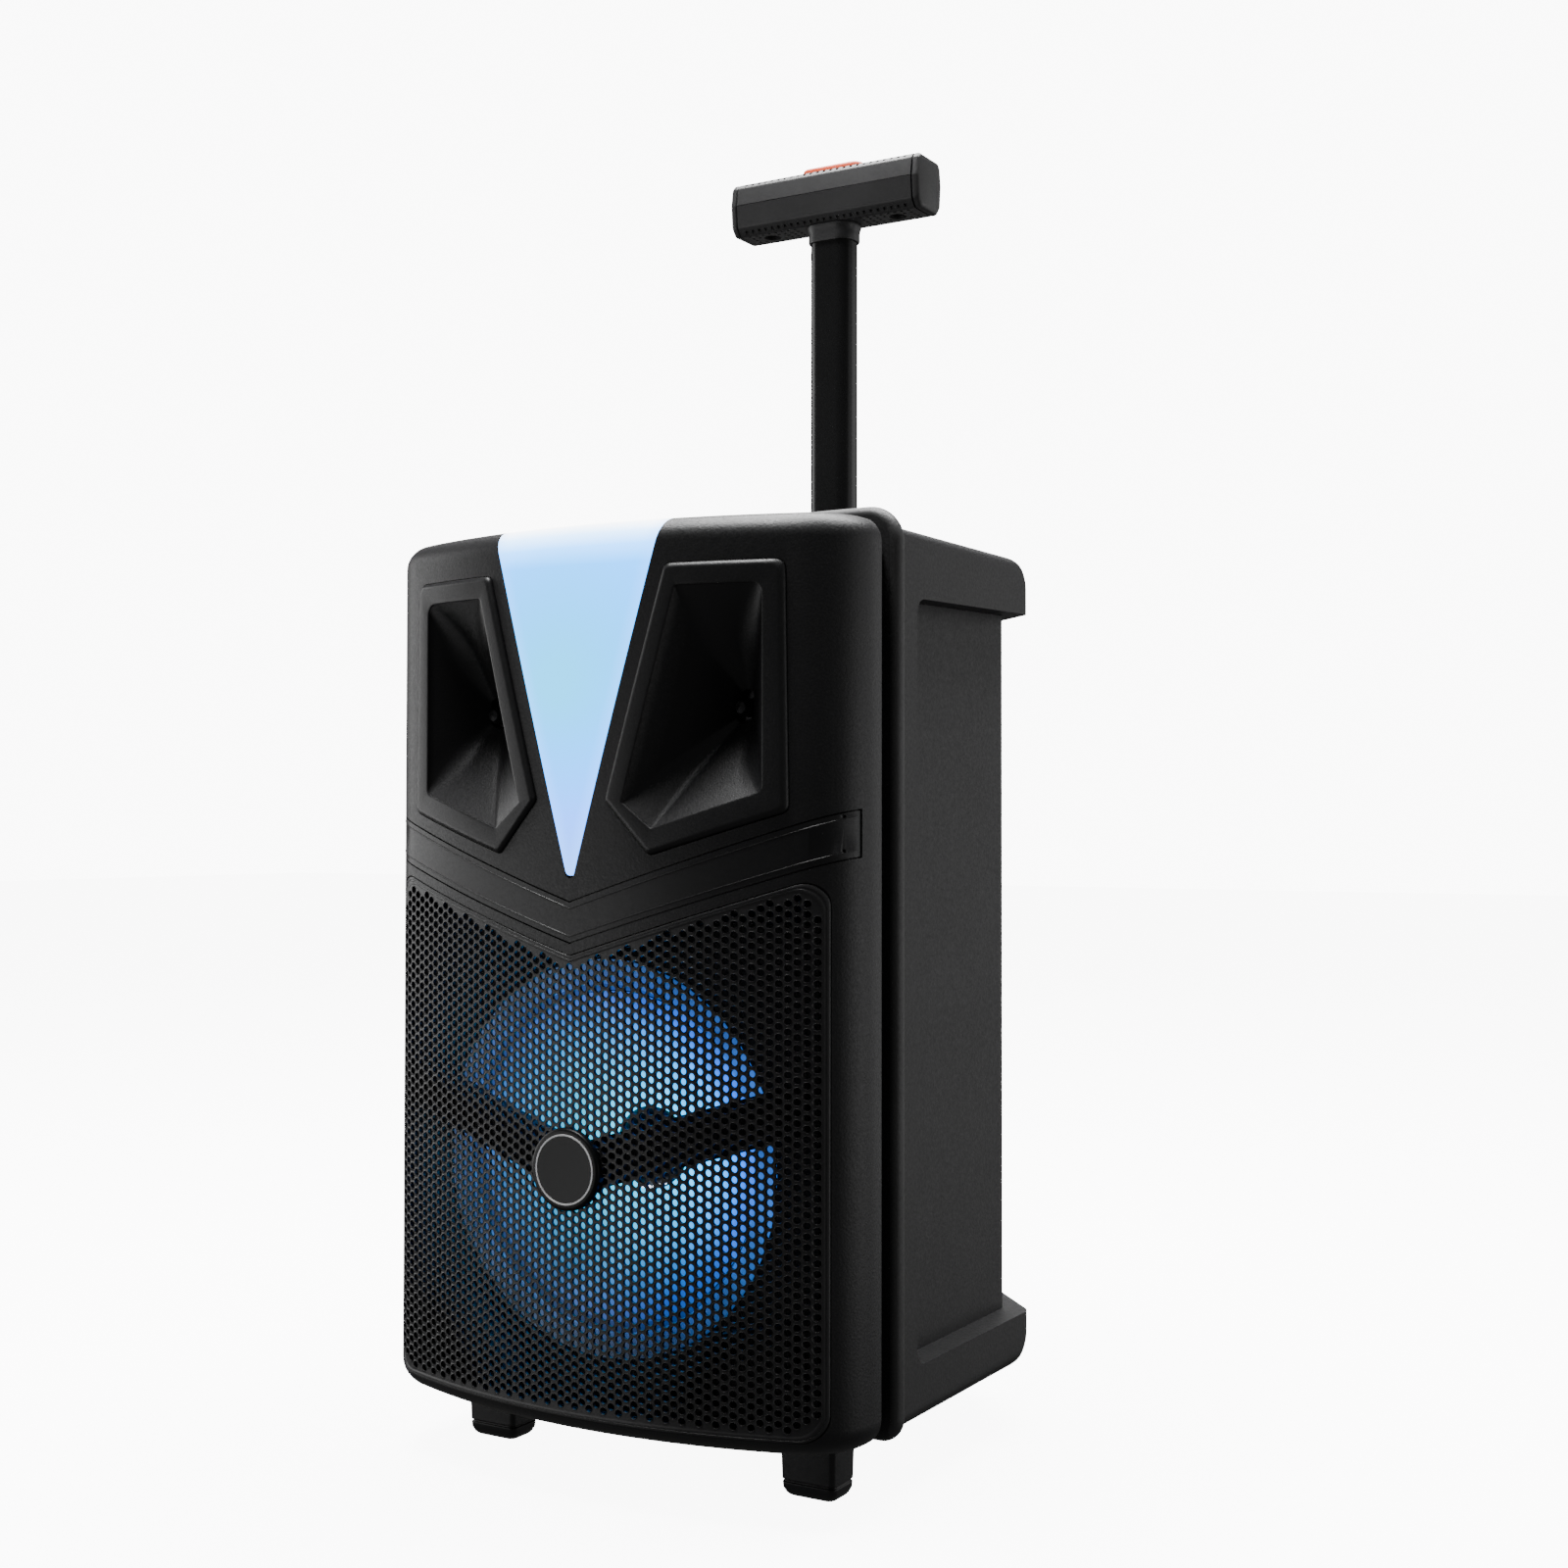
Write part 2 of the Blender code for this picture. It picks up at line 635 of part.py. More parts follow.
def make_basket():
    """Pressed frame: mounting flange, open sides and a floor that carries the magnet."""
    profile = [(86 * MM, 31.3 * MM), (100 * MM, 31.3 * MM), (100 * MM, 34 * MM), (88 * MM, 34 * MM),
               (84 * MM, 50 * MM), (48 * MM, 95.7 * MM), (22 * MM, 95.7 * MM), (22 * MM, 93.5 * MM),
               (46 * MM, 93.5 * MM), (81.5 * MM, 49 * MM), (85 * MM, 37.5 * MM)]
    basket = add("basket", woofer(profile, ring=True), DARK_METAL)
    windows = []
    for index in range(6):
        turn = math.tau * (index + 0.5) / 6
        window = prism_y([(0.045, -0.015), (0.1, -0.026), (0.1, 0.026), (0.045, 0.015)],
                         56 * MM, 88 * MM)
        for point in window.verts:
            x, z = point.co.x, point.co.z
            point.co.x = x * math.cos(turn) - z * math.sin(turn)
            point.co.z = x * math.sin(turn) + z * math.cos(turn) + WOOFER_Z
        windows.append(window)
    return smooth(combine(basket, windows))


def make_magnet():
    """Ring magnet with front and back plates and the centre pole, as pressed together."""
    gap_floor = MAGNET_REAR - 5 * MM
    profile = [(0, MAGNET_FRONT - 2 * MM), (13 * MM, MAGNET_FRONT - 2 * MM), (13 * MM, gap_floor),
               (19 * MM, gap_floor), (19 * MM, MAGNET_FRONT), (MAGNET_RADIUS - 4 * MM, MAGNET_FRONT),
               (MAGNET_RADIUS - 4 * MM, MAGNET_FRONT + 4 * MM), (MAGNET_RADIUS, MAGNET_FRONT + 4 * MM),
               (MAGNET_RADIUS, gap_floor), (MAGNET_RADIUS - 4 * MM, MAGNET_REAR), (0, MAGNET_REAR)]
    return smooth(add("magnet", woofer(profile), FERRITE))


def make_surround():
    """Half-roll edge between the cone and the basket."""
    inner, outer = CONE_OUTER + GAP, 84.3 * MM
    middle, reach = (inner + outer) / 2, (outer - inner) / 2
    top = arc((middle, 37.4 * MM), reach, 180, 360, 4)
    under = arc((middle, 38.6 * MM), reach - 1 * MM, 360, 180, 4)
    profile = [(r, 37.4 * MM + (y - 37.4 * MM) * 0.8) for r, y in top]
    profile += [(r, 38.6 * MM + (y - 38.6 * MM) * 0.8) for r, y in under]
    return smooth(add("surround", woofer(profile, ring=True), RUBBER))


def make_spider():
    profile = []
    inner, outer, height = COIL_RADIUS + 1.3 * MM, 44 * MM, 84 * MM
    steps = 5
    for step in range(steps + 1):
        wave = 1.2 * MM * math.sin(math.pi * step)
        ripple = 1.2 * MM * (1 if step % 2 else -1)
        profile.append((inner + (outer - inner) * step / steps, height + ripple + wave))
    profile += [(radius, y + 0.9 * MM) for radius, y in reversed(profile)]
    return smooth(add("spider", woofer(profile, ring=True), SPIDER_CLOTH))


def make_cone():
    """Paper cone as a thin open funnel."""
    outer = []
    steps = 4
    for step in range(steps + 1):
        part = step / steps
        radius = CONE_OUTER + (CONE_NECK - CONE_OUTER) * part
        depth = CONE_FRONT + (CONE_NECK_Y - CONE_FRONT) * math.sin(part * math.pi / 2) ** 1.15
        outer.append((radius, depth))
    thickness = 1.2 * MM
    profile = outer + [(radius, depth + thickness) for radius, depth in reversed(outer)]
    return smooth(add("cone", woofer(profile, ring=True), CONE_PAPER))


def make_dust_cap():
    radius = 19 * MM
    rim = CONE_NECK_Y - 1.9 * MM
    dome = [(radius * math.sin(turn), rim - 6 * MM * math.cos(turn))
            for turn in (0, 0.5, 1.0, 1.4)]
    inner = [(r * 0.94, y + 1 * MM) for r, y in reversed(dome)]
    profile = dome + inner
    return smooth(add("dust_cap", woofer(profile), GLOSS))


def make_voice_coil():
    profile = [(COIL_RADIUS - 1 * MM, CONE_NECK_Y + 1.6 * MM), (COIL_RADIUS, CONE_NECK_Y + 1.6 * MM),
               (COIL_RADIUS, MAGNET_FRONT - 2 * MM), (COIL_RADIUS + 1 * MM, MAGNET_FRONT - 2 * MM),
               (COIL_RADIUS + 1 * MM, 106 * MM), (COIL_RADIUS - 1 * MM, 106 * MM)]
    return smooth(add("voice_coil", woofer(profile, ring=True), COPPER))


# ---------------------------------------------------------------- rear cabinet
def cabinet_plan(side, shoulder, back, front, radii):
    """Six-sided plan whose sides, sloping shoulders and back are each moved in by a distance."""
    slope = Vector((CABINET_REAR - CABINET_SHOULDER_Y, CABINET_HALF_WIDTH - CABINET_BACK_HALF))
    normal = slope.normalized()
    side_y = CABINET_SHOULDER_Y - (shoulder - normal.x * side) / normal.y
    back_x = CABINET_BACK_HALF - (shoulder - normal.y * back) / normal.x
    half = CABINET_HALF_WIDTH - side
    rear = CABINET_REAR - back
    corners = [(half, front), (half, side_y), (back_x, rear),
               (-back_x, rear), (-half, side_y), (-half, front)]
    return rounded_polygon(corners, [0, radii[0], radii[1], radii[1], radii[0], 0], 3)


def edge_inset(distance, radius):
    """How far a rounded edge has come in, at a distance below the face it runs into."""
    if distance >= radius:
        return 0.0
    return radius - math.sqrt(radius * radius - (radius - distance) ** 2)


def cabinet_solid():
    rings = []
    for distance in (0, 0.6, 2, 4, 7.5, 14):
        rings.append((CABINET_BOTTOM + distance * MM, distance * MM))
    for distance in (14, 7.5, 4, 2, 0.6, 0):
        rings.append((CABINET_TOP - distance * MM, distance * MM))
    return loft([[(x, y, z) for x, y in cabinet_plan(edge_inset(distance, 5 * MM),
                                                     edge_inset(distance, 14 * MM),
                                                     edge_inset(distance, 5 * MM),
                                                     BEAD_REAR - 4 * MM, (12 * MM, 12 * MM))]
                 for z, distance in rings])


def front_outline(half, bottom, top, high, low):
    corners = [(half, bottom), (half, top), (-half, top), (-half, bottom)]
    return rounded_polygon(corners, [low, high, high, low], 4)


def bead_solid():
    rings = []
    middle = (BEAD_FRONT + BEAD_REAR) / 2
    reach = (BEAD_REAR - BEAD_FRONT) / 2
    for turn in (-90, -60, -30, 0, 30, 60, 90):
        inset = 4 * MM * (1 - math.cos(math.radians(turn)))
        y = middle + reach * math.sin(math.radians(turn))
        outline = front_outline(BEAD_HALF_WIDTH - inset, BEAD_BOTTOM + inset, BEAD_TOP - inset,
                                16 * MM - inset, 10 * MM - inset)
        rings.append([(x, y, z) for x, z in outline])
    return loft(rings)


def recess_tool():
    """The band round sides and back between the bumpers, outside the inner core."""
    beyond = CABINET_REAR + PAST_BACK
    top_there = RECESS_TOP + RECESS_RISE * (beyond - RECESS_FRONT)
    outline = rounded_polygon([(RECESS_FRONT, RECESS_BOTTOM), (beyond, RECESS_BOTTOM),
                               (beyond, top_there), (RECESS_FRONT, RECESS_TOP)],
                              [7 * MM, 0, 0, 7 * MM], 4)
    tool = add("band", prism_x(outline, -PAST_SIDES, PAST_SIDES), None)
    core = cabinet_plan(RECESS_DEPTH, RECESS_DEPTH * 0.8, BACK_RECESS, 0, (4 * MM, 5 * MM))
    combine(tool, [prism_z(core, 0, CABINET_TOP + PAST_BACK)])
    bm = bmesh.new()
    bm.from_mesh(tool.data)
    bpy.data.objects.remove(tool, do_unlink=True)
    return bm


def rounded_slot(half, centre, radius, bottom, top):
    return prism_z(rounded_box_outline(half[0], half[1], radius, 4, centre), bottom, top)


def make_rear_cabinet():
    cabinet = add("rear_cabinet", cabinet_solid(), BLACK_CABINET)
    combine(cabinet, [recess_tool()])
    spigot = front_outline(SHELL_HALF_WIDTH - SPIGOT_INSET, SHELL_BOTTOM + SPIGOT_INSET,
                           SHELL_TOP - SPIGOT_INSET, 10 * MM, 5 * MM)
    combine(cabinet, [bead_solid(), prism_y(spigot, SPIGOT_FRONT, BEAD_FRONT + 4 * MM)], "UNION")
    wall = CABINET_WALL
    side = RECESS_DEPTH + wall
    inside = cabinet_plan(side, side * 0.8, BACK_RECESS + wall, BEAD_REAR, (3 * MM, 3 * MM))
    mouth = front_outline(SHELL_HALF_WIDTH - SPIGOT_INSET - 2.5 * MM, SHELL_BOTTOM + 8 * MM,
                          SHELL_TOP - 8 * MM, 8 * MM, 4 * MM)
    low_half = CABINET_HALF_WIDTH - side
    cutters = [prism_y(mouth, SPIGOT_FRONT - 5 * MM, BEAD_REAR + 4 * MM),
               prism_z(inside, BLOCK_TOP, CABINET_TOP - wall),
               box((-low_half, low_half), (BEAD_REAR, ARCH_FRONT - wall),
                   (CABINET_BOTTOM + wall, BLOCK_TOP + 2 * MM))]
    for side in (1, -1):
        x = sorted((ARCH_X[0] * side, ARCH_X[1] * side))
        cutters.append(box(x, (ARCH_FRONT, CABINET_REAR + PAST_BACK), (0, ARCH_TOP)))
    cutters.append(box(*AXLE_NOTCH, (0, ARCH_TOP)))
    cutters.append(cylinder(AXLE_RADIUS + 2 * GAP, -ARCH_X[1], ARCH_X[1],
                            (0, WHEEL_Y, WHEEL_RADIUS), "X"))
    window_y = ((PANEL_Y[0] + PANEL_Y[1]) / 2, (PANEL_Y[1] - PANEL_Y[0]) / 2 - 6 * MM)
    cutters.append(rounded_slot((PANEL_HALF_WIDTH - 7 * MM, window_y[1]), (0, window_y[0]),
                                6 * MM, *LID_CUT))
    cutters.append(rounded_slot(TUBE_HOLE, (0, POLE_Y), 6 * MM, *LID_CUT))
    cutters.append(box((PLATE_X[0] - GAP, PLATE_X[1] + GAP), BACK_CUT,
                       (PLATE_Z[0] - GAP, PLATE_Z[1] + GAP)))
    return smooth(combine(cabinet, cutters))


def make_gasket():
    """Foam seal in the joint between the two halves of the body."""
    inner_inset, outer_inset = SPIGOT_INSET - GAP, SPIGOT_INSET - 1.5 * MM
    inner = front_outline(SHELL_HALF_WIDTH - inner_inset, SHELL_BOTTOM + inner_inset,
                          SHELL_TOP - inner_inset, 10 * MM, 5 * MM)
    outer = front_outline(SHELL_HALF_WIDTH - outer_inset, SHELL_BOTTOM + outer_inset,
                          SHELL_TOP - outer_inset, 11 * MM, 6 * MM)
    front, rear = SHELL_REAR + GAP, SHELL_REAR + 5 * MM
    rings = [[(x, front, z) for x, z in outer], [(x, rear, z) for x, z in outer],
             [(x, rear, z) for x, z in inner], [(x, front, z) for x, z in inner]]
    return smooth(add("seam_gasket", loft(rings, closed=True), FOAM))


def make_battery():
    pack = box((-75 * MM, 75 * MM), (124 * MM, 182 * MM), (CABINET_BOTTOM + 3.3 * MM, 92 * MM))
    return bevel(add("battery", pack, BATTERY_WRAP), 3 * MM)


def make_amplifier():
    board = box((-78 * MM, 78 * MM), (88 * MM, 190 * MM), (BOARD_Z, BOARD_Z + 1.6 * MM))
    return add("amplifier_board", board, CIRCUIT)


# ---------------------------------------------------------------- control panel
def make_control_panel():
    middle = (PANEL_Y[0] + PANEL_Y[1]) / 2
    half = ((PANEL_Y[1] - PANEL_Y[0]) / 2)
    plate = prism_z(rounded_box_outline(PANEL_HALF_WIDTH, half, 9 * MM, 4, (0, middle)),
                    PANEL_BOTTOM, PANEL_TOP)
    panel = add("control_panel", plate, BLACK_PANEL)
    bottom, top = PANEL_BOTTOM - 5 * MM, PANEL_TOP + 5 * MM
    cutters = []
    for x, y, _ in KNOBS.values():
        cutters.append(cylinder(3.4 * MM, bottom, top, (x * MM, y * MM, 0), "Z", 16))
    for x in BUTTONS.values():
        cutters.append(rounded_slot((BUTTON_HALF[0] + GAP, BUTTON_HALF[1] + GAP),
                                    (x * MM, BUTTON_Y), 2 * MM, bottom, top))
    cutters.append(box((-DISPLAY_HALF - GAP, DISPLAY_HALF + GAP),
                       (DISPLAY_Y[0] - GAP, DISPLAY_Y[1] + GAP), (bottom, top)))
    for x, y, radius in SOCKETS.values():
        cutters.append(cylinder(radius * MM + GAP, bottom, top, (x * MM, y * MM, 0), "Z", 24))
    cutters.append(box((USB_CENTRE[0] - USB_HALF[0] - GAP, USB_CENTRE[0] + USB_HALF[0] + GAP),
                       (USB_CENTRE[1] - USB_HALF[1] - GAP, USB_CENTRE[1] + USB_HALF[1] + GAP),
                       (bottom, top)))
    return smooth(combine(panel, cutters))


def make_display():
    window = box((-DISPLAY_HALF, DISPLAY_HALF), DISPLAY_Y, (PANEL_BOTTOM - 4 * MM, PANEL_TOP - 0.4 * MM))
    return add("display_window", window, GLOSS)


def make_round_socket(name, x, y, radius):
    """A jack barrel that is open at the top."""
    centre = (x * MM, y * MM, 0)
    radius *= MM
    hole = radius * 0.6
    floor = PANEL_TOP - 14 * MM
    profile = [(0, floor - 3 * MM), (radius, floor - 3 * MM), (radius, PANEL_TOP + 0.8 * MM),
               (hole, PANEL_TOP + 0.8 * MM), (hole, floor), (0, floor)]
    return smooth(add(name, turned(profile, centre, "Z", 24), SOCKET_METAL))


def make_usb_socket():
    x, y = USB_CENTRE
    low, high = PANEL_TOP - 14 * MM, PANEL_TOP
    outer = box((x - USB_HALF[0], x + USB_HALF[0]), (y - USB_HALF[1], y + USB_HALF[1]), (low, high))
    socket = add("usb_socket", outer, SOCKET_METAL)
    wall = 1 * MM
    return combine(socket, [box((x - USB_HALF[0] + wall, x + USB_HALF[0] - wall),
                                (y - USB_HALF[1] + wall, y + USB_HALF[1] - wall),
                                (low + wall, high + wall))])


def make_knob(name, x, y, radius):
    """A turning cap with a grip edge and its shaft, which reaches down to the board."""
    place = Vector((x * MM, y * MM, PANEL_TOP))
    holder = empty(name + "_axis", place, SPEAKER)
    radius *= MM
    base, top = PANEL_TOP + 0.5 * MM, PANEL_TOP + 10 * MM
    profile = [(0, BOARD_Z + 2.2 * MM), (3 * MM, BOARD_Z + 2.2 * MM), (3 * MM, base), (radius, base),
               (radius, top - 3 * MM), (radius - 1.4 * MM, top), (0, top)]
    knob = add(name, turned(profile, (place.x, place.y, 0), "Z"), KNOB_BLACK)
    return settle(smooth(knob), holder)


def settle(item, holder):
    """Hang an object, still drawn about the speaker's origin, on a pivot empty."""
    shift = holder.location
    for point in item.data.vertices:
        point.co -= shift
    item.parent = holder
    item.location = (0, 0, 0)
    return item


def make_button(name, x):
    place = Vector((x * MM, BUTTON_Y, PANEL_TOP))
    holder = empty(name + "_axis", place, SPEAKER)
    cap = rounded_slot(BUTTON_HALF, (x * MM, BUTTON_Y), 1.7 * MM, PANEL_BOTTOM - 3 * MM,
                       PANEL_TOP + 1.8 * MM)
    button = add(name, cap, RUBBER_KEY)
    stem = box((x * MM - 1.5 * MM, x * MM + 1.5 * MM), (BUTTON_Y - 1.5 * MM, BUTTON_Y + 1.5 * MM),
               (BOARD_Z + 4.5 * MM, PANEL_BOTTOM - 2 * MM))
    combine(button, [stem], "UNION")
    return settle(smooth(button), holder)


# ---------------------------------------------------------------- power plate on the back
def make_power_plate():
    plate = add("power_plate", box(PLATE_X, PLATE_Y, PLATE_Z), BLACK_PANEL)
    across, up = ROCKER_HOLE
    rocker_hole = box((PLATE_MIDDLE - across, PLATE_MIDDLE + across), BACK_CUT,
                      (ROCKER_Z - up, ROCKER_Z + up))
    socket_hole = cylinder(DC_HOLE_RADIUS, *BACK_CUT, (PLATE_MIDDLE, 0, DC_SOCKET_Z), "Y", 24)
    return combine(plate, [rocker_hole, socket_hole])


def make_dc_socket():
    face, back = PLATE_Y[1] + 0.3 * MM, 232 * MM
    profile = [(0, back), (5.5 * MM, back), (5.5 * MM, face), (2.9 * MM, face),
               (2.9 * MM, back + 3 * MM), (0, back + 3 * MM)]
    return smooth(add("dc_socket", turned(profile, (PLATE_MIDDLE, 0, DC_SOCKET_Z), "Y", 24), GLOSS))


def make_rocker():
    """A rocker that turns about a pin along x, inside the power plate's opening."""
    place = Vector((PLATE_MIDDLE, 242 * MM, ROCKER_Z))
    holder = empty("power_rocker_axis", place, SPEAKER)
    face = 247.8 * MM
    outline = [(239 * MM, ROCKER_Z - 3 * MM), (244 * MM, ROCKER_Z - 5.2 * MM),
               (face, ROCKER_Z - 5.2 * MM), (face - 0.9 * MM, ROCKER_Z), (face, ROCKER_Z + 5.2 * MM),
               (244 * MM, ROCKER_Z + 5.2 * MM), (239 * MM, ROCKER_Z + 3 * MM)]
    rocker = add("power_rocker", prism_x(outline, PLATE_MIDDLE - 10 * MM, PLATE_MIDDLE + 10 * MM),
                 KNOB_BLACK)
    return settle(rocker, holder)


# ---------------------------------------------------------------- telescopic pole
def oval(half_x, half_y, radius):
    return rounded_box_outline(half_x, half_y, radius, 4, (0, POLE_Y))


def tube_between(outer, inner, bottom, top):
    rings = [[(x, y, bottom) for x, y in outer], [(x, y, top) for x, y in outer],
             [(x, y, top) for x, y in inner], [(x, y, bottom) for x, y in inner]]
    return loft(rings, closed=True)


POLE_HALF = (POLE_SIZE[0] / 2, POLE_SIZE[1] / 2)
POLE_ROUND = 7 * MM
BORE_HALF = (POLE_HALF[0] + GAP, POLE_HALF[1] + GAP)
PIN_Z = POLE_BOTTOM + PIN_ABOVE_BOTTOM


def make_outer_tube():
    outer = oval(BORE_HALF[0] + TUBE_WALL, BORE_HALF[1] + TUBE_WALL, POLE_ROUND + TUBE_WALL)
    inner = oval(BORE_HALF[0], BORE_HALF[1], POLE_ROUND + GAP)
    tube = add("outer_tube", tube_between(outer, inner, TUBE_BOTTOM, TUBE_TOP), STEEL)
    holes = []
    for z in (PIN_Z - SLIDE_DOWN, PIN_Z, PIN_Z + SLIDE_UP):
        holes.append(cylinder(3.4 * MM, 8 * MM, 20 * MM, (0, POLE_Y, z), "X", 16))
    return smooth(combine(tube, holes))


def make_tube_bezel():
    """Plastic guide that closes the cabinet's top round the pole."""
    flange = oval(18 * MM, 11.8 * MM, 8 * MM)
    neck = oval(15.9 * MM, 10.2 * MM, 6 * MM)
    bore = oval(BORE_HALF[0] + 0.1 * MM, BORE_HALF[1] + 0.1 * MM, POLE_ROUND + 0.4 * MM)
    low, seat, high = TUBE_TOP + GAP, CABINET_TOP + GAP, CABINET_TOP + 3.3 * MM
    rings = [[(x, y, low) for x, y in neck], [(x, y, seat) for x, y in neck],
             [(x, y, seat) for x, y in flange], [(x, y, high) for x, y in flange],
             [(x, y, high) for x, y in bore], [(x, y, low) for x, y in bore]]
    return smooth(add("tube_bezel", loft(rings, closed=True), BLACK_PANEL))


def make_pole(holder):
    """Hollow pole, closed at the top but for the push rod's hole."""
    pole = add("pole", prism_z(oval(POLE_HALF[0], POLE_HALF[1], POLE_ROUND), POLE_BOTTOM, POLE_TOP),
               STEEL)
    bore = prism_z(oval(POLE_HALF[0] - POLE_WALL, POLE_HALF[1] - POLE_WALL, POLE_ROUND - POLE_WALL),
                   POLE_BOTTOM - 5 * MM, POLE_TOP - 3 * MM)
    rod_hole = cylinder(2.6 * MM, POLE_TOP - 10 * MM, POLE_TOP + 5 * MM, (0, POLE_Y, 0), "Z", 16)
    pin_hole = cylinder(3.3 * MM, 8 * MM, 20 * MM, (0, POLE_Y, PIN_Z), "X", 16)
    return settle(smooth(combine(pole, [bore, rod_hole, pin_hole])), holder)


def make_collar(holder):
    """Flared socket under the grip."""
    bore = oval(BORE_HALF[0], BORE_HALF[1], POLE_ROUND + GAP)
    low = oval(POLE_HALF[0] + 1.3 * MM, POLE_HALF[1] + 1.3 * MM, POLE_ROUND + 1.3 * MM)
    high = oval(POLE_HALF[0] + 2.2 * MM, POLE_HALF[1] + 2.2 * MM, POLE_ROUND + 2.2 * MM)
    top = GRIP_BOTTOM - GAP
    rings = [[(x, y, COLLAR_BOTTOM) for x, y in low], [(x, y, top - 2.5 * MM) for x, y in low],
             [(x, y, top) for x, y in high], [(x, y, top) for x, y in bore],
             [(x, y, COLLAR_BOTTOM) for x, y in bore]]
    return settle(smooth(add("collar", loft(rings, closed=True), BLACK_GRIP)), holder)


def grip_section():
    """Side view of the whole grip: flat top and bottom, round edges."""
    half = GRIP_HALF_DEPTH
    corners = [(POLE_Y - half, GRIP_BOTTOM), (POLE_Y + half, GRIP_BOTTOM),
               (POLE_Y + half, GRIP_TOP), (POLE_Y - half, GRIP_TOP)]
    return rounded_polygon(corners, [6 * MM, 6 * MM, 5 * MM, 5 * MM], 4)


def make_grip_half(name, upper, holder):
    """One half of the grip: a hollow tray with two screw bosses."""
    length = GRIP_HALF_LENGTH
    half = add(name, prism_x(grip_section(), -length, length), BLACK_GRIP)
    across, along = (-2 * length, 2 * length), (POLE_Y - length, POLE_Y + length)
    if upper:
        away = box(across, along, (GRIP_BOTTOM - length, GRIP_SPLIT + GAP / 2))
        hollow_z = (GRIP_SPLIT - 5 * MM, GRIP_TOP - GRIP_WALL)
        boss_z = (GRIP_SPLIT + GAP / 2, GRIP_TOP - GRIP_WALL + 1 * MM)
    else:
        away = box(across, along, (GRIP_SPLIT - GAP / 2, GRIP_TOP + length))
        hollow_z = (GRIP_BOTTOM + GRIP_WALL, GRIP_SPLIT + 5 * MM)
        boss_z = (GRIP_BOTTOM + GRIP_WALL - 1 * MM, GRIP_SPLIT - GAP / 2)
    depth = GRIP_HALF_DEPTH - GRIP_WALL
    hollow = box((3 * MM - length, length - 3 * MM), (POLE_Y - depth, POLE_Y + depth), hollow_z)
    combine(half, [away, hollow])
    for side in (1, -1):
        centre = (GRIP_SCREW_X * side, POLE_Y, 0)
        combine(half, [cylinder(5.6 * MM, boss_z[0], boss_z[1], centre, "Z", 16)], "UNION")
        combine(half, [cylinder(1.9 * MM, GRIP_BOTTOM - 5 * MM, GRIP_TOP - 5 * MM, centre, "Z", 12)])
    if upper:
        opening = (RELEASE_HALF[0] + 0.4 * MM, RELEASE_HALF[1] + 0.4 * MM)
        combine(half, [rounded_slot(opening, (0, POLE_Y), 6 * MM, GRIP_SPLIT - 4 * MM,
                                    GRIP_TOP + 14 * MM)])
    else:
        for side in (1, -1):
            centre = (GRIP_SCREW_X * side, POLE_Y, 0)
            combine(half, [cylinder(4.6 * MM, GRIP_BOTTOM - 5 * MM, GRIP_BOTTOM + 5 * MM,
                                    centre, "Z", 16)])
        pole_hole = prism_z(oval(BORE_HALF[0], BORE_HALF[1], POLE_ROUND + GAP),
                            GRIP_BOTTOM - 18 * MM, GRIP_BOTTOM + 10 * MM)
        combine(half, [pole_hole])
    return settle(smooth(half), holder)


def make_grip_screw(name, side, holder):
    head, under, tip = GRIP_BOTTOM + 2 * MM, GRIP_BOTTOM + 4.7 * MM, GRIP_TOP - 6 * MM
    profile = [(0, head), (4.2 * MM, head), (4.2 * MM, under), (1.6 * MM, under),
               (1.6 * MM, tip), (0, tip)]
    screw = add(name, turned(profile, (GRIP_SCREW_X * side, POLE_Y, 0), "Z", 16), SCREW_METAL)
    return settle(smooth(screw), holder)


def make_end_cap(name, side, holder):
    start = GRIP_HALF_LENGTH + GAP
    rings = []
    for x, shrink in ((start, 0), (start + END_CAP_LENGTH - 1.2 * MM, 0),
                      (start + END_CAP_LENGTH, 1.2 * MM)):
        middle_z = (GRIP_TOP + GRIP_BOTTOM) / 2
        scale = 1 - shrink / GRIP_HALF_DEPTH
        rings.append([(x * side, POLE_Y + (y - POLE_Y) * scale, middle_z + (z - middle_z) * scale)
                      for y, z in grip_section()])
    return settle(smooth(add(name, loft(rings), BLACK_GRIP)), holder)


def make_release(pole_holder):
    """Push button in the grip and the rod that carries its push down inside the pole."""
    seat = POLE_TOP + 10 * MM
    holder = empty("release_axis", Vector((0, POLE_Y, GRIP_TOP)), SPEAKER)
    cap = rounded_slot(RELEASE_HALF, (0, POLE_Y), RELEASE_ROUND, GRIP_TOP - 5 * MM,
                       GRIP_TOP + RELEASE_PROUD)
    button = add("release_button", cap, ORANGE)
    lug = cylinder(5.5 * MM, seat, GRIP_TOP - 4 * MM, (0, POLE_Y, 0), "Z", 16)
    combine(button, [lug], "UNION")
    settle(smooth(button), holder)
    rod_bottom = PIN_Z + 7 * MM
    profile = [(0, rod_bottom), (0.8 * MM, rod_bottom), (2.2 * MM, rod_bottom + 4 * MM),
               (2.2 * MM, seat - GAP), (0, seat - GAP)]
    rod = add("push_rod", turned(profile, (0, POLE_Y, 0), "Z", 12), STEEL)
    settle(smooth(rod), holder)
    holder.parent = pole_holder
    holder.location = holder.location - pole_holder.location
    spring = add("button_spring", coil(3.9 * MM, 0.5 * MM, POLE_TOP + GAP, seat - GAP, 5, (0, POLE_Y)),
                 SPRING_STEEL)
    settle(smooth(spring), pole_holder)


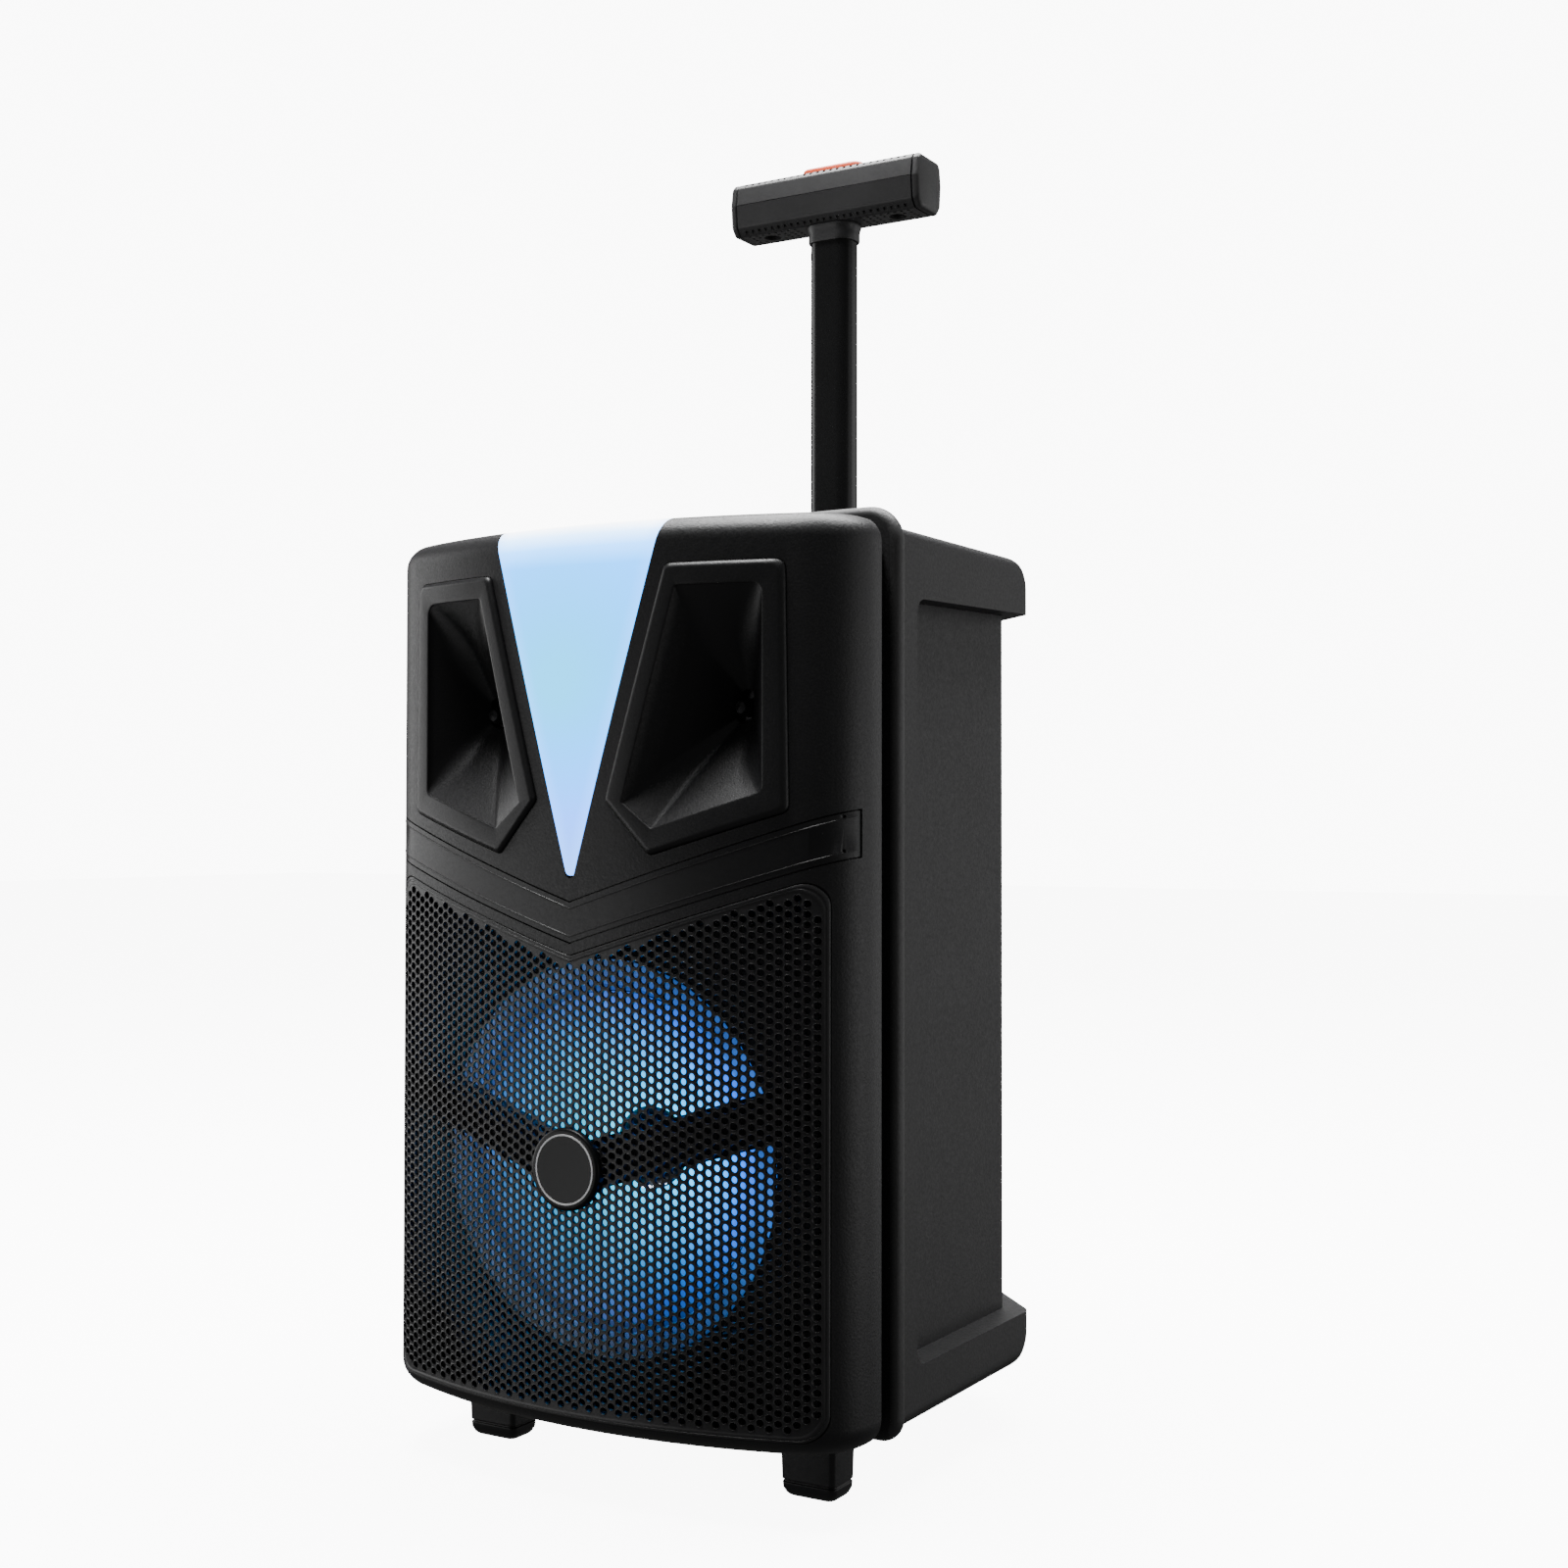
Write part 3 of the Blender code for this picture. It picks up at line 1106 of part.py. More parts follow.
def make_lock_pin(pole_holder):
    """Round pin that slides across the pole near its foot."""
    holder = empty("lock_pin_axis", Vector((0, POLE_Y, PIN_Z)), SPEAKER)
    nose = POLE_HALF[0] - 0.1 * MM
    profile = [(0, 3 * MM), (3 * MM, 3 * MM), (3 * MM, nose - 1.5 * MM), (1.8 * MM, nose), (0, nose)]
    pin = add("lock_pin", turned(profile, (0, POLE_Y, PIN_Z), "X", 16), STEEL)
    settle(smooth(pin), holder)
    holder.parent = pole_holder
    holder.location = holder.location - pole_holder.location


# ---------------------------------------------------------------- running gear
def make_foot(name, side):
    x = sorted((FOOT_X[0] * side, FOOT_X[1] * side))
    middle = ((x[0] + x[1]) / 2, (FOOT_Y[0] + FOOT_Y[1]) / 2)
    half = ((x[1] - x[0]) / 2, (FOOT_Y[1] - FOOT_Y[0]) / 2)
    rings = []
    for z, shrink in ((0, 3.5 * MM), (3.5 * MM, 0.8 * MM), (BEAD_BOTTOM - GAP, 0)):
        outline = rounded_box_outline(half[0] - shrink, half[1] - shrink, 3 * MM, 2, middle)
        rings.append([(px, py, z) for px, py in outline])
    return smooth(add(name, loft(rings), GLOSS_FOOT))


def make_axle_housing():
    block = box((-41.5 * MM, 41.5 * MM), (WHEEL_Y - 12 * MM, WHEEL_Y + 12 * MM),
                (WHEEL_RADIUS - 8 * MM, ARCH_TOP - GAP))
    housing = add("axle_housing", block, BLACK_INNER)
    bore = cylinder(AXLE_RADIUS + GAP, -0.05, 0.05, (0, WHEEL_Y, WHEEL_RADIUS), "X", 24)
    return bevel(combine(housing, [bore]), 1.5 * MM)


def make_axle():
    """Steel axle with an upset head at each end that keeps the wheels on."""
    head = (WHEEL_OUTER_X + GAP, 72 * MM)
    profile = [(0, -head[1]), (6.5 * MM, -head[1]), (6.5 * MM, -head[0]), (AXLE_RADIUS, -head[0]),
               (AXLE_RADIUS, head[0]), (6.5 * MM, head[0]), (6.5 * MM, head[1]), (0, head[1])]
    return smooth(add("axle", turned(profile, (0, WHEEL_Y, WHEEL_RADIUS), "X", 24), STEEL))


def make_wheel(side_name, side):
    """Hub with a rubber tyre, turning together on the axle."""
    holder = empty("wheel_axis_" + side_name, Vector((0, WHEEL_Y, WHEEL_RADIUS)), SPEAKER)
    centre = (0, WHEEL_Y, WHEEL_RADIUS)
    inner, outer = WHEEL_INNER_X, WHEEL_OUTER_X
    bore = AXLE_RADIUS + GAP
    hub = [(bore, inner), (HUB_RADIUS, inner + 2 * MM), (HUB_RADIUS, outer - 2 * MM),
           (HUB_RADIUS - 3 * MM, outer - 2 * MM), (HUB_RADIUS - 4 * MM, outer - 5 * MM),
           (9 * MM, outer - 5 * MM), (8 * MM, outer), (bore, outer)]
    tyre = [(HUB_RADIUS + GAP, inner + 2 * MM), (WHEEL_RADIUS - 2.5 * MM, inner + 1 * MM),
            (WHEEL_RADIUS, inner + 4 * MM), (WHEEL_RADIUS, outer - 4 * MM),
            (WHEEL_RADIUS - 2.5 * MM, outer - 1 * MM), (HUB_RADIUS + GAP, outer - 2 * MM)]
    for part, profile, look in (("hub", hub, WHEEL_GREY), ("tyre", tyre, RUBBER)):
        profile = [(radius, x * side) for radius, x in profile]
        item = add("wheel_%s_%s" % (part, side_name), turned(profile, centre, "X", ROUND, ring=True), look)
        settle(smooth(item), holder)


# ---------------------------------------------------------------- the whole speaker
clear_scene()
SPEAKER = empty("speaker_frame", (0, 0, 0))

BLACK_SHELL = material("front_shell_plastic", (0.012, 0.012, 0.013), 0.55)
BLACK_SHELL_SMOOTH = material("trim_plastic", (0.010, 0.010, 0.011), 0.42)
BLACK_CABINET = material("cabinet_plastic", (0.016, 0.016, 0.017), 0.58)
BLACK_GRILLE = material("grille_plastic", (0.012, 0.012, 0.013), 0.5)
BLACK_HORN = material("horn_plastic", (0.013, 0.013, 0.014), 0.5)
BLACK_INNER = material("inner_plastic", (0.02, 0.02, 0.021), 0.65)
BLACK_PANEL = material("panel_plastic", (0.02, 0.02, 0.022), 0.4)
BLACK_GRIP = material("grip_plastic", (0.013, 0.013, 0.014), 0.45)
KNOB_BLACK = material("knob_plastic", (0.02, 0.02, 0.02), 0.35)
RUBBER_KEY = material("key_rubber", (0.05, 0.05, 0.052), 0.7)
GLOSS = material("gloss_plastic", (0.004, 0.004, 0.004), 0.12)
GLOSS_FOOT = material("foot_plastic", (0.01, 0.01, 0.01), 0.25)
MILKY = material("milky_plastic", (0.72, 0.88, 1.0), 0.35)
ORANGE = material("button_plastic", (0.80, 0.19, 0.08), 0.4)
RUBBER = material("rubber", (0.012, 0.012, 0.012), 0.8)
FOAM = material("gasket_foam", (0.015, 0.015, 0.015), 0.9)
CONE_PAPER = material("cone_paper", (0.05, 0.06, 0.07), 0.6)
SPIDER_CLOTH = material("spider_cloth", (0.45, 0.28, 0.12), 0.9)
COPPER = material("copper_wire", (0.75, 0.35, 0.18), 0.35, 1.0)
STEEL = material("painted_steel", (0.012, 0.012, 0.013), 0.3)
SCREW_METAL = material("screw_steel", (0.12, 0.12, 0.12), 0.4, 1.0)
SPRING_STEEL = material("spring_steel", (0.5, 0.5, 0.5), 0.3, 1.0)
DARK_METAL = material("pressed_steel", (0.06, 0.06, 0.06), 0.45, 1.0)
SOCKET_METAL = material("socket_metal", (0.4, 0.4, 0.4), 0.35, 1.0)
FERRITE = material("ferrite", (0.08, 0.08, 0.08), 0.6)
CIRCUIT = material("circuit_board", (0.02, 0.12, 0.05), 0.5)
BATTERY_WRAP = material("battery_wrap", (0.05, 0.08, 0.2), 0.5)
WHEEL_GREY = material("hub_plastic", (0.03, 0.03, 0.03), 0.5)

make_front_shell()
make_chevron_trim()
make_light_lens()
make_light_board()
make_grille()
make_badge()
for side_word, direction in (("left", -1), ("right", 1)):
    make_horn(side_word + "_horn", direction)
    make_tweeter(side_word + "_tweeter", direction)
    make_foot(side_word + "_foot", direction)
    make_wheel(side_word, direction)

make_baffle()
make_led_ring()
make_basket()
make_magnet()
make_surround()
make_spider()
CONE_AXIS = empty("cone_axis", Vector((0, CONE_FRONT, WOOFER_Z)), SPEAKER)
for make_piece in (make_cone, make_dust_cap, make_voice_coil):
    settle(make_piece(), CONE_AXIS)

make_rear_cabinet()
make_gasket()
make_battery()
make_amplifier()
make_axle_housing()
make_axle()

make_control_panel()
make_display()
make_usb_socket()
for socket_name, (socket_x, socket_y, socket_radius) in SOCKETS.items():
    make_round_socket(socket_name, socket_x, socket_y, socket_radius)
for knob_name, (knob_x, knob_y, knob_radius) in KNOBS.items():
    make_knob(knob_name, knob_x, knob_y, knob_radius)
for button_name, button_x in BUTTONS.items():
    make_button(button_name, button_x)
make_power_plate()
make_dc_socket()
make_rocker()

make_outer_tube()
make_tube_bezel()
POLE_AXIS = empty("pole_axis", Vector((0, POLE_Y, POLE_TOP)), SPEAKER)
make_pole(POLE_AXIS)
make_collar(POLE_AXIS)
make_grip_half("grip_lower", False, POLE_AXIS)
make_grip_half("grip_upper", True, POLE_AXIS)
for side_word, direction in (("left", -1), ("right", 1)):
    make_grip_screw("grip_screw_" + side_word, direction, POLE_AXIS)
    make_end_cap("end_cap_" + side_word, direction, POLE_AXIS)
make_release(POLE_AXIS)
make_lock_pin(POLE_AXIS)

SPEAKER.location = (0, FRAME_SHIFT, 0)
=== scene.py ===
"""Looks of the portable trolley party speaker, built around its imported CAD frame.

Pieces are drawn in the speaker's own frame, as in the CAD: x to the right, y backwards from the
foremost point of the bowed front, z up from the floor, with lengths in metres.
"""
import math
import random

import bmesh
import bpy
from mathutils import Matrix, Vector


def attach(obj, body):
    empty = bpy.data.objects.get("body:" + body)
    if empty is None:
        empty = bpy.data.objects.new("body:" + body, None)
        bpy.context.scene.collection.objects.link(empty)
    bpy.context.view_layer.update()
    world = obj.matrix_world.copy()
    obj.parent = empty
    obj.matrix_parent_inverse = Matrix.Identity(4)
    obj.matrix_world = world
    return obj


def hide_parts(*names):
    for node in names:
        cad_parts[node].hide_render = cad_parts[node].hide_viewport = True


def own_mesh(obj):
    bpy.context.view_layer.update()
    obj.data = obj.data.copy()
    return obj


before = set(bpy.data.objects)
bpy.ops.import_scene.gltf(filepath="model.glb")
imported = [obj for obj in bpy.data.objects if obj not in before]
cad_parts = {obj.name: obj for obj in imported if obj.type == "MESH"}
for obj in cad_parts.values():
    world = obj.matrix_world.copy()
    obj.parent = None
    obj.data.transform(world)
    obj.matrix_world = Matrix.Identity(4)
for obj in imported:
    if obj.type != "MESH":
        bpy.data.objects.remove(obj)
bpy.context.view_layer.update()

MM = 0.001
GAP = 0.3 * MM
SHIFT = Vector((0, -123.35 * MM, 0))

# ---------------------------------------------------------------- dimensions, as in the CAD
SHELL_HALF_WIDTH = 124 * MM
SHELL_BOTTOM = 29 * MM
SHELL_TOP = 420.5 * MM
SHELL_REAR = 52 * MM
SHELL_WALL = 3.2 * MM
BOW_RADIUS = 302 * MM
SHOULDER_RADIUS = 33 * MM
TOP_ROUND = 11 * MM
BOTTOM_ROUND = 12 * MM

BEAD_FRONT = 63.5 * MM
BEAD_REAR = 72.7 * MM
BEAD_HALF_WIDTH = 126 * MM
BEAD_BOTTOM = 27 * MM
BEAD_TOP = 427.5 * MM
CABINET_HALF_WIDTH = 123 * MM
CABINET_BOTTOM = 31 * MM
CABINET_TOP = 419 * MM
CABINET_REAR = 250 * MM
CABINET_SHOULDER_Y = 207 * MM
CABINET_BACK_HALF = 82 * MM
CABINET_WALL = 3 * MM
RECESS_DEPTH = 13 * MM
BACK_RECESS = 2.5 * MM
RECESS_FRONT = 87.4 * MM
RECESS_BOTTOM = 54.7 * MM
RECESS_TOP = 389 * MM
RECESS_RISE = 0.03
SPIGOT_INSET = 5.5 * MM
SPIGOT_FRONT = 49 * MM
EDGE_ROUND = 14 * MM
FLAT_ROUND = 5 * MM

LENS_TIP_Z = 261.5 * MM
LENS_SPREAD = 0.281
LENS_REAR = 44 * MM
TRIM_SLOPE = 0.325
TRIM_UPPER_Z = 256.3 * MM
TRIM_LOWER_Z = 239.3 * MM
TRIM_LOWER_SLOPE = 0.308
TRIM_END_X = 121.5 * MM
TRIM_DEPTH = 1.5 * MM
GRILLE_HALF_WIDTH = 114.3 * MM
GRILLE_BOTTOM = 36.5 * MM
GRILLE_APEX_Z = 233.5 * MM
GRILLE_SLOPE = 0.31
GRILLE_POCKET = 2.2 * MM
GRILLE_LEDGE = 4 * MM
HORN_CORNERS = [(97.9, 400.2), (46.5, 400.1), (18.2, 300.3), (39.6, 276.9), (99.4, 295.4)]
MOUTH_CORNERS = [(89.1, 390.3), (52.1, 390.2), (27.5, 299.5), (41.4, 288.4), (89.2, 303.9)]
HORN_FLANGE_BACK = 4.5 * MM
THROAT = Vector((67, 35, 340)) * MM
THROAT_SHARE = 0.14
FRAME_RADII = [4.5, 3.8, 3.0, 3.0, 4.0]
MOUTH_RADII = [4.6, 1.5, 1.2, 1.5, 3.5]
DEEP_RADII = [16, 14, 9, 9, 16]
BADGE_RADIUS = 17.75 * MM
BADGE_PROUD = 3.3 * MM
BADGE_Z = 142.4 * MM
WOOFER_Z = 143 * MM

POLE_Y = 233 * MM
POLE_HALF = (12.25 * MM, 8.5 * MM)
POLE_ROUND = 7 * MM
TUBE_HOLE = (16.3 * MM, 10.6 * MM)
POLE_BOTTOM = 236 * MM
POLE_TOP = 616 * MM
COLLAR_BOTTOM = 599 * MM
GRIP_BOTTOM = 608 * MM
GRIP_SPLIT = 624 * MM
GRIP_TOP = 636 * MM
GRIP_HALF_LENGTH = 52.4 * MM
GRIP_HALF_DEPTH = 14 * MM
GRIP_SCREW_X = 38 * MM
RELEASE_PROUD = 4.2 * MM
END_CAP_LENGTH = 4.1 * MM

WHEEL_RADIUS = 28 * MM
WHEEL_Y = 221 * MM
WHEEL_INNER_X = 50 * MM
WHEEL_OUTER_X = 69 * MM
AXLE_RADIUS = 4 * MM
ARCH_X = (46 * MM, 73 * MM)
ARCH_FRONT = 189 * MM
ARCH_TOP = 60 * MM
BLOCK_TOP = 66 * MM
PANEL_HALF_WIDTH = 92 * MM
PANEL_Y = (80 * MM, 198 * MM)
PANEL_TOP = 421.8 * MM
KNOBS = {"treble_knob": (-52, 9), "volume_knob": (0, 13), "bass_knob": (52, 9)}
KNOB_Y = 168 * MM
BUTTONS = {"mode_button": -45, "previous_button": -15, "play_button": 15, "next_button": 45}
BUTTON_Y = 130 * MM
PLATE_X = (-68 * MM, -28 * MM)
PLATE_Z = (280 * MM, 350 * MM)
BACK_SCREW_X = (-62 * MM, 62 * MM)
BACK_SCREW_Z = (82 * MM, 190 * MM, 365 * MM)
PLATE_FACE = 247 * MM
# reach of the tools that cut right through the front, the cabinet, its lid and its back
PAST_FRONT = 10 * MM
BEHIND_FRONT = 36 * MM
PAST_SIDES = 150 * MM
PAST_BACK = 50 * MM
LID_CUT = (CABINET_TOP - 19 * MM, CABINET_TOP + 11 * MM)
BACK_CUT = (CABINET_REAR - 15 * MM, CABINET_REAR + 10 * MM)
AXLE_NOTCH = ((-42 * MM, 42 * MM), (200 * MM, 244 * MM))

# perforation of the grille: columns of round holes, every other column half a pitch lower
HOLE_PITCH_X = 3.67 * MM
HOLE_PITCH_Z = 4.4 * MM
HOLE_RADIUS = 1.52 * MM
HOLE_SIDES = 12
PLATE_THICKNESS = 1.3 * MM


# ---------------------------------------------------------------- materials
class Nodes:
    """A material's node tree with short ways to add and wire nodes."""

    def __init__(self, name):
        self.material = bpy.data.materials.new(name)
        self.material.use_nodes = True
        self.tree = self.material.node_tree
        self.shader = self.tree.nodes["Principled BSDF"]
        self.place = self.add("ShaderNodeTexCoord").outputs["Object"]

    def add(self, kind, values=None, **settings):
        node = self.tree.nodes.new(kind)
        for key, value in settings.items():
            setattr(node, key, value)
        for key, value in (values or {}).items():
            if isinstance(value, bpy.types.NodeSocket):
                self.tree.links.new(value, node.inputs[key])
            else:
                node.inputs[key].default_value = value
        return node

    def link(self, output, socket):
        self.tree.links.new(output, self.shader.inputs[socket])

    def noise(self, scale, detail=3.0, roughness=0.55):
        return self.add("ShaderNodeTexNoise", {"Vector": self.place, "Scale": scale,
                                               "Detail": detail, "Roughness": roughness}).outputs["Fac"]

    def cells(self, scale):
        return self.add("ShaderNodeTexVoronoi", {"Vector": self.place, "Scale": scale},
                        feature="SMOOTH_F1").outputs["Distance"]

    def spread(self, value, low, high, start=0.0, end=1.0):
        return self.add("ShaderNodeMapRange", {"Value": value, "From Min": start, "From Max": end,
                                               "To Min": low, "To Max": high}).outputs["Result"]

    def ramp(self, value, stops):
        node = self.add("ShaderNodeValToRGB", {"Fac": value})
        points = node.color_ramp.elements
        while len(points) < len(stops):
            points.new(0.5)
        for point, (place, colour) in zip(points, stops):
            point.position = place
            point.color = (*colour, 1)
        return node.outputs["Color"]

    def math(self, operation, first, second=0.0):
        return self.add("ShaderNodeMath", {0: first, 1: second}, operation=operation).outputs["Value"]

    def mix(self, factor, first, second, blend="MIX"):
        node = self.add("ShaderNodeMix", {"Factor": factor, "A": first, "B": second},
                        data_type="RGBA", blend_type=blend)
        return node.outputs["Result"]

    def distance(self, first, second):
        node = self.add("ShaderNodeVectorMath", {0: first, 1: second}, operation="DISTANCE")
        return node.outputs["Value"]

    def axis(self, letter):
        return self.add("ShaderNodeSeparateXYZ", {"Vector": self.place}).outputs[letter]

    def bump(self, height, distance):
        node = self.add("ShaderNodeBump", {"Height": height, "Distance": distance, "Strength": 1.0})
        self.link(node.outputs["Normal"], "Normal")

    def fixed(self, values):
        """Uniform values on the shader itself."""
        for socket, value in values.items():
            self.shader.inputs[socket].default_value = value


def scaled(colour, factor):
    return tuple(part * factor for part in colour)


def plastic(name, colour, roughness, grain=0.9 * MM, depth=0.04 * MM, spread=0.08, specular=0.5):
    """Moulded plastic: leather-like grain, and a little change of tone and gloss over its surface."""
    nodes = Nodes(name)
    tone = nodes.noise(24.0, 4.0)
    nodes.link(nodes.ramp(tone, [(0.3, scaled(colour, 0.82)), (0.7, scaled(colour, 1.2))]), "Base Color")
    speckle = nodes.noise(0.6 / grain, 5.0, 0.65)
    nodes.link(nodes.spread(speckle, roughness - spread, roughness + spread, 0.3, 0.7), "Roughness")
    leather = nodes.cells(1.0 / grain)
    height = nodes.math("ADD", leather, nodes.math("MULTIPLY", speckle, 0.8))
    nodes.bump(height, depth)
    nodes.fixed({"Specular IOR Level": specular})
    return nodes.material


def metal(name, colour, roughness, metallic=1.0):
    """Drawn or turned metal with fine marks."""
    nodes = Nodes(name)
    marks = nodes.noise(900.0, 3.0, 0.5)
    nodes.link(nodes.spread(marks, roughness * 0.75, roughness * 1.3, 0.3, 0.7), "Roughness")
    tone = nodes.noise(30.0)
    nodes.link(nodes.ramp(tone, [(0.3, scaled(colour, 0.85)), (0.7, scaled(colour, 1.15))]), "Base Color")
    nodes.fixed({"Metallic": metallic})
    nodes.bump(marks, 0.01 * MM)
    return nodes.material


def rubber(name, colour, roughness=0.8):
    """Matt rubber or foam with a trace of dust."""
    nodes = Nodes(name)
    dust = nodes.noise(150.0, 6.0)
    nodes.link(nodes.ramp(dust, [(0.35, colour), (0.75, scaled(colour, 1.8))]), "Base Color")
    nodes.link(nodes.spread(dust, roughness - 0.1, roughness + 0.1, 0.3, 0.7), "Roughness")
    nodes.bump(nodes.noise(1500.0), 0.05 * MM)
    return nodes.material


def weave(name, colour, pitch):
    """Woven cloth or coated paper."""
    nodes = Nodes(name)
    warp, weft = [nodes.add("ShaderNodeTexWave",
                            {"Vector": nodes.place, "Scale": 0.5 / pitch, "Distortion": 1.0},
                            bands_direction=letter).outputs["Fac"] for letter in "XZ"]
    height = nodes.math("MAXIMUM", warp, weft)
    nodes.link(nodes.ramp(height, [(0.2, scaled(colour, 0.6)), (0.9, scaled(colour, 1.2))]), "Base Color")
    nodes.fixed({"Roughness": 0.85})
    nodes.bump(height, 0.1 * MM)
    return nodes.material


def circuit(name):
    """Solder mask over a maze of tracks."""
    nodes = Nodes(name)
    tracks = nodes.add("ShaderNodeTexBrick", {"Vector": nodes.place, "Scale": 160.0,
                                              "Mortar Size": 0.06}).outputs["Fac"]
    nodes.link(nodes.ramp(tracks, [(0.4, (0.012, 0.09, 0.035)), (0.6, (0.05, 0.22, 0.09))]), "Base Color")
    nodes.fixed({"Roughness": 0.4})
    nodes.bump(tracks, 0.05 * MM)
    return nodes.material


def lit_lens(name):
    """Milky wedge lit from behind: lavender tip, cyan heart, white towards the top edge."""
    strength = 8.0
    heart_place = Vector((-8 * MM, SHIFT.y, 352 * MM))
    nodes = Nodes(name)
    up = nodes.spread(nodes.axis("Z"), 0.0, 1.0, LENS_TIP_Z, SHELL_TOP)
    along = nodes.ramp(up, [(0.0, scaled((0.50, 1.25, 3.5), 1 / strength)),
                            (0.22, scaled((0.25, 1.28, 5.0), 1 / strength)),
                            (0.40, scaled((0.01, 1.35, 5.8), 1 / strength)),
                            (0.60, scaled((0.0, 1.50, 4.6), 1 / strength)),
                            (0.88, scaled((0.0, 1.75, 5.4), 1 / strength)),
                            (0.93, scaled((0.6, 2.80, 7.0), 1 / strength)),
                            (0.965, scaled((2.6, 4.80, 8.0), 1 / strength)),
                            (1.0, (1.0, 1.0, 1.0))])
    from_heart = nodes.distance(nodes.place, heart_place)
    glow = nodes.spread(from_heart, 1.0, 0.0, 8 * MM, 60 * MM)
    heart = (*scaled((0.0, 1.85, 3.6), 1 / strength), 1)
    colour = nodes.mix(glow, along, heart)
    from_middle = nodes.math("ABSOLUTE", nodes.axis("X"))
    half_width = nodes.math("MULTIPLY", up, LENS_SPREAD * (SHELL_TOP - LENS_TIP_Z))
    rim = nodes.spread(nodes.math("SUBTRACT", half_width, from_middle), 0.3, 0.0, 0.0, 6 * MM)
    colour = nodes.mix(rim, colour, (*scaled((0.6, 2.2, 6.4), 1 / strength), 1))
    nodes.link(colour, "Emission Color")
    nodes.fixed({"Emission Strength": strength, "Base Color": (0.12, 0.14, 0.16, 1)})
    nodes.link(nodes.spread(nodes.noise(60.0), 0.25, 0.35), "Roughness")
    return nodes.material


def lit_woofer(name, strength, share, dark):
    """Surface in the light of the ring: pale cyan round the middle, blue outside, dimmer at the left."""
    nodes = Nodes(name)
    flat = nodes.add("ShaderNodeVectorMath", {0: nodes.place, 1: (1, 0, 1)}, operation="MULTIPLY")
    radius = nodes.distance(flat.outputs["Vector"], Vector((-6 * MM, 0, WOOFER_Z)))
    outwards = nodes.spread(radius, 0.0, 1.0, 15 * MM, 87 * MM)
    hue = nodes.ramp(outwards, [(0.0, (0.001, 0.44, 0.92)), (0.3, (0.001, 0.29, 0.72)),
                                (0.55, (0.001, 0.14, 0.56)), (0.75, (0.003, 0.055, 0.42)),
                                (1.0, (0.007, 0.050, 0.21))])
    across = nodes.spread(nodes.axis("X"), 0.0, 1.0, -85 * MM, 30 * MM)
    dimming = nodes.ramp(across, [(0.0, (0.20, 0.16, 0.10)), (0.42, (0.9, 0.66, 0.42)), (1.0, (1, 1, 1))])
    haze = nodes.ramp(across, [(0.0, (0.010, 0.011, 0.016)), (0.6, (0.013, 0.015, 0.018)),
                               (1.0, (0.0, 0.0, 0.0))])
    up = nodes.spread(nodes.axis("Z"), 0.0, 1.0, WOOFER_Z - 85 * MM, WOOFER_Z + 85 * MM)
    level = nodes.ramp(up, [(0.0, (0.06, 0.07, 0.06)), (0.2, (0.5, 0.5, 0.42)), (0.42, (1, 1, 1)),
                            (0.7, (0.95, 0.9, 0.95)), (1.0, (0.5, 0.42, 0.38))])
    patches = nodes.spread(nodes.noise(45.0, 3.0), 0.7, 1.25, 0.3, 0.7)
    light = nodes.mix(1.0, hue, dimming, "MULTIPLY")
    light = nodes.mix(1.0, light, level, "MULTIPLY")
    light = nodes.mix(1.0, light, haze, "ADD")
    grey = nodes.add("ShaderNodeCombineColor", {"Red": patches, "Green": patches, "Blue": patches})
    nodes.link(nodes.mix(share, light, grey.outputs["Color"], "MULTIPLY"), "Emission Color")
    nodes.fixed({"Emission Strength": strength, "Base Color": (*dark, 1)})
    nodes.link(nodes.spread(nodes.noise(300.0), 0.4, 0.6), "Roughness")
    return nodes.material


def lamp(name, strength):
    """Small white light with a little change of tone."""
    nodes = Nodes(name)
    patches = nodes.noise(400.0)
    nodes.link(nodes.ramp(patches, [(0.3, (0.75, 0.85, 1.0)), (0.7, (1.0, 1.0, 1.0))]), "Emission Color")
    nodes.fixed({"Emission Strength": strength})
    return nodes.material


def gloss(name, colour, roughness):
    """Coated, glossy surface with faint smudges."""
    nodes = Nodes(name)
    smudge = nodes.noise(40.0, 5.0)
    nodes.link(nodes.spread(smudge, roughness * 0.7, roughness * 1.6, 0.3, 0.7), "Roughness")
    nodes.link(nodes.ramp(smudge, [(0.3, colour), (0.8, scaled(colour, 1.3))]), "Base Color")
    nodes.fixed({"Coat Weight": 0.6})
    return nodes.material


SHELL = plastic("front_shell_plastic", (0.0105, 0.0105, 0.0115), 0.45, 0.8 * MM, 0.065 * MM)
TRIM = plastic("trim_plastic", (0.0095, 0.0095, 0.0105), 0.42, 0.7 * MM, 0.02 * MM)
CABINET = plastic("cabinet_plastic", (0.017, 0.017, 0.018), 0.55, 0.9 * MM, 0.06 * MM)
# painted light: a lighter copy of the cabinet plastic for the bead, which is moulded with the cabinet and
# lies in the shell's shade
BEAD_PAINTED_LIGHT = plastic("bead_plastic_painted_light", (0.04, 0.04, 0.041), 0.5, 0.7 * MM, 0.06 * MM)
GRILLE = plastic("grille_plastic", (0.025, 0.025, 0.026), 0.42, 0.6 * MM, 0.015 * MM)
HORN = plastic("horn_plastic", (0.0105, 0.0105, 0.0115), 0.42, 0.7 * MM, 0.04 * MM)
INNER = plastic("inner_plastic", (0.008, 0.008, 0.009), 0.6, 0.9 * MM, 0.03 * MM)
PANEL = plastic("panel_plastic", (0.016, 0.016, 0.017), 0.38, 0.6 * MM, 0.02 * MM)
GRIP = plastic("grip_plastic", (0.045, 0.045, 0.046), 0.42, 0.7 * MM, 0.015 * MM)
POLE = plastic("painted_steel", (0.006, 0.006, 0.0065), 0.3, 0.5 * MM, 0.003 * MM, 0.04)
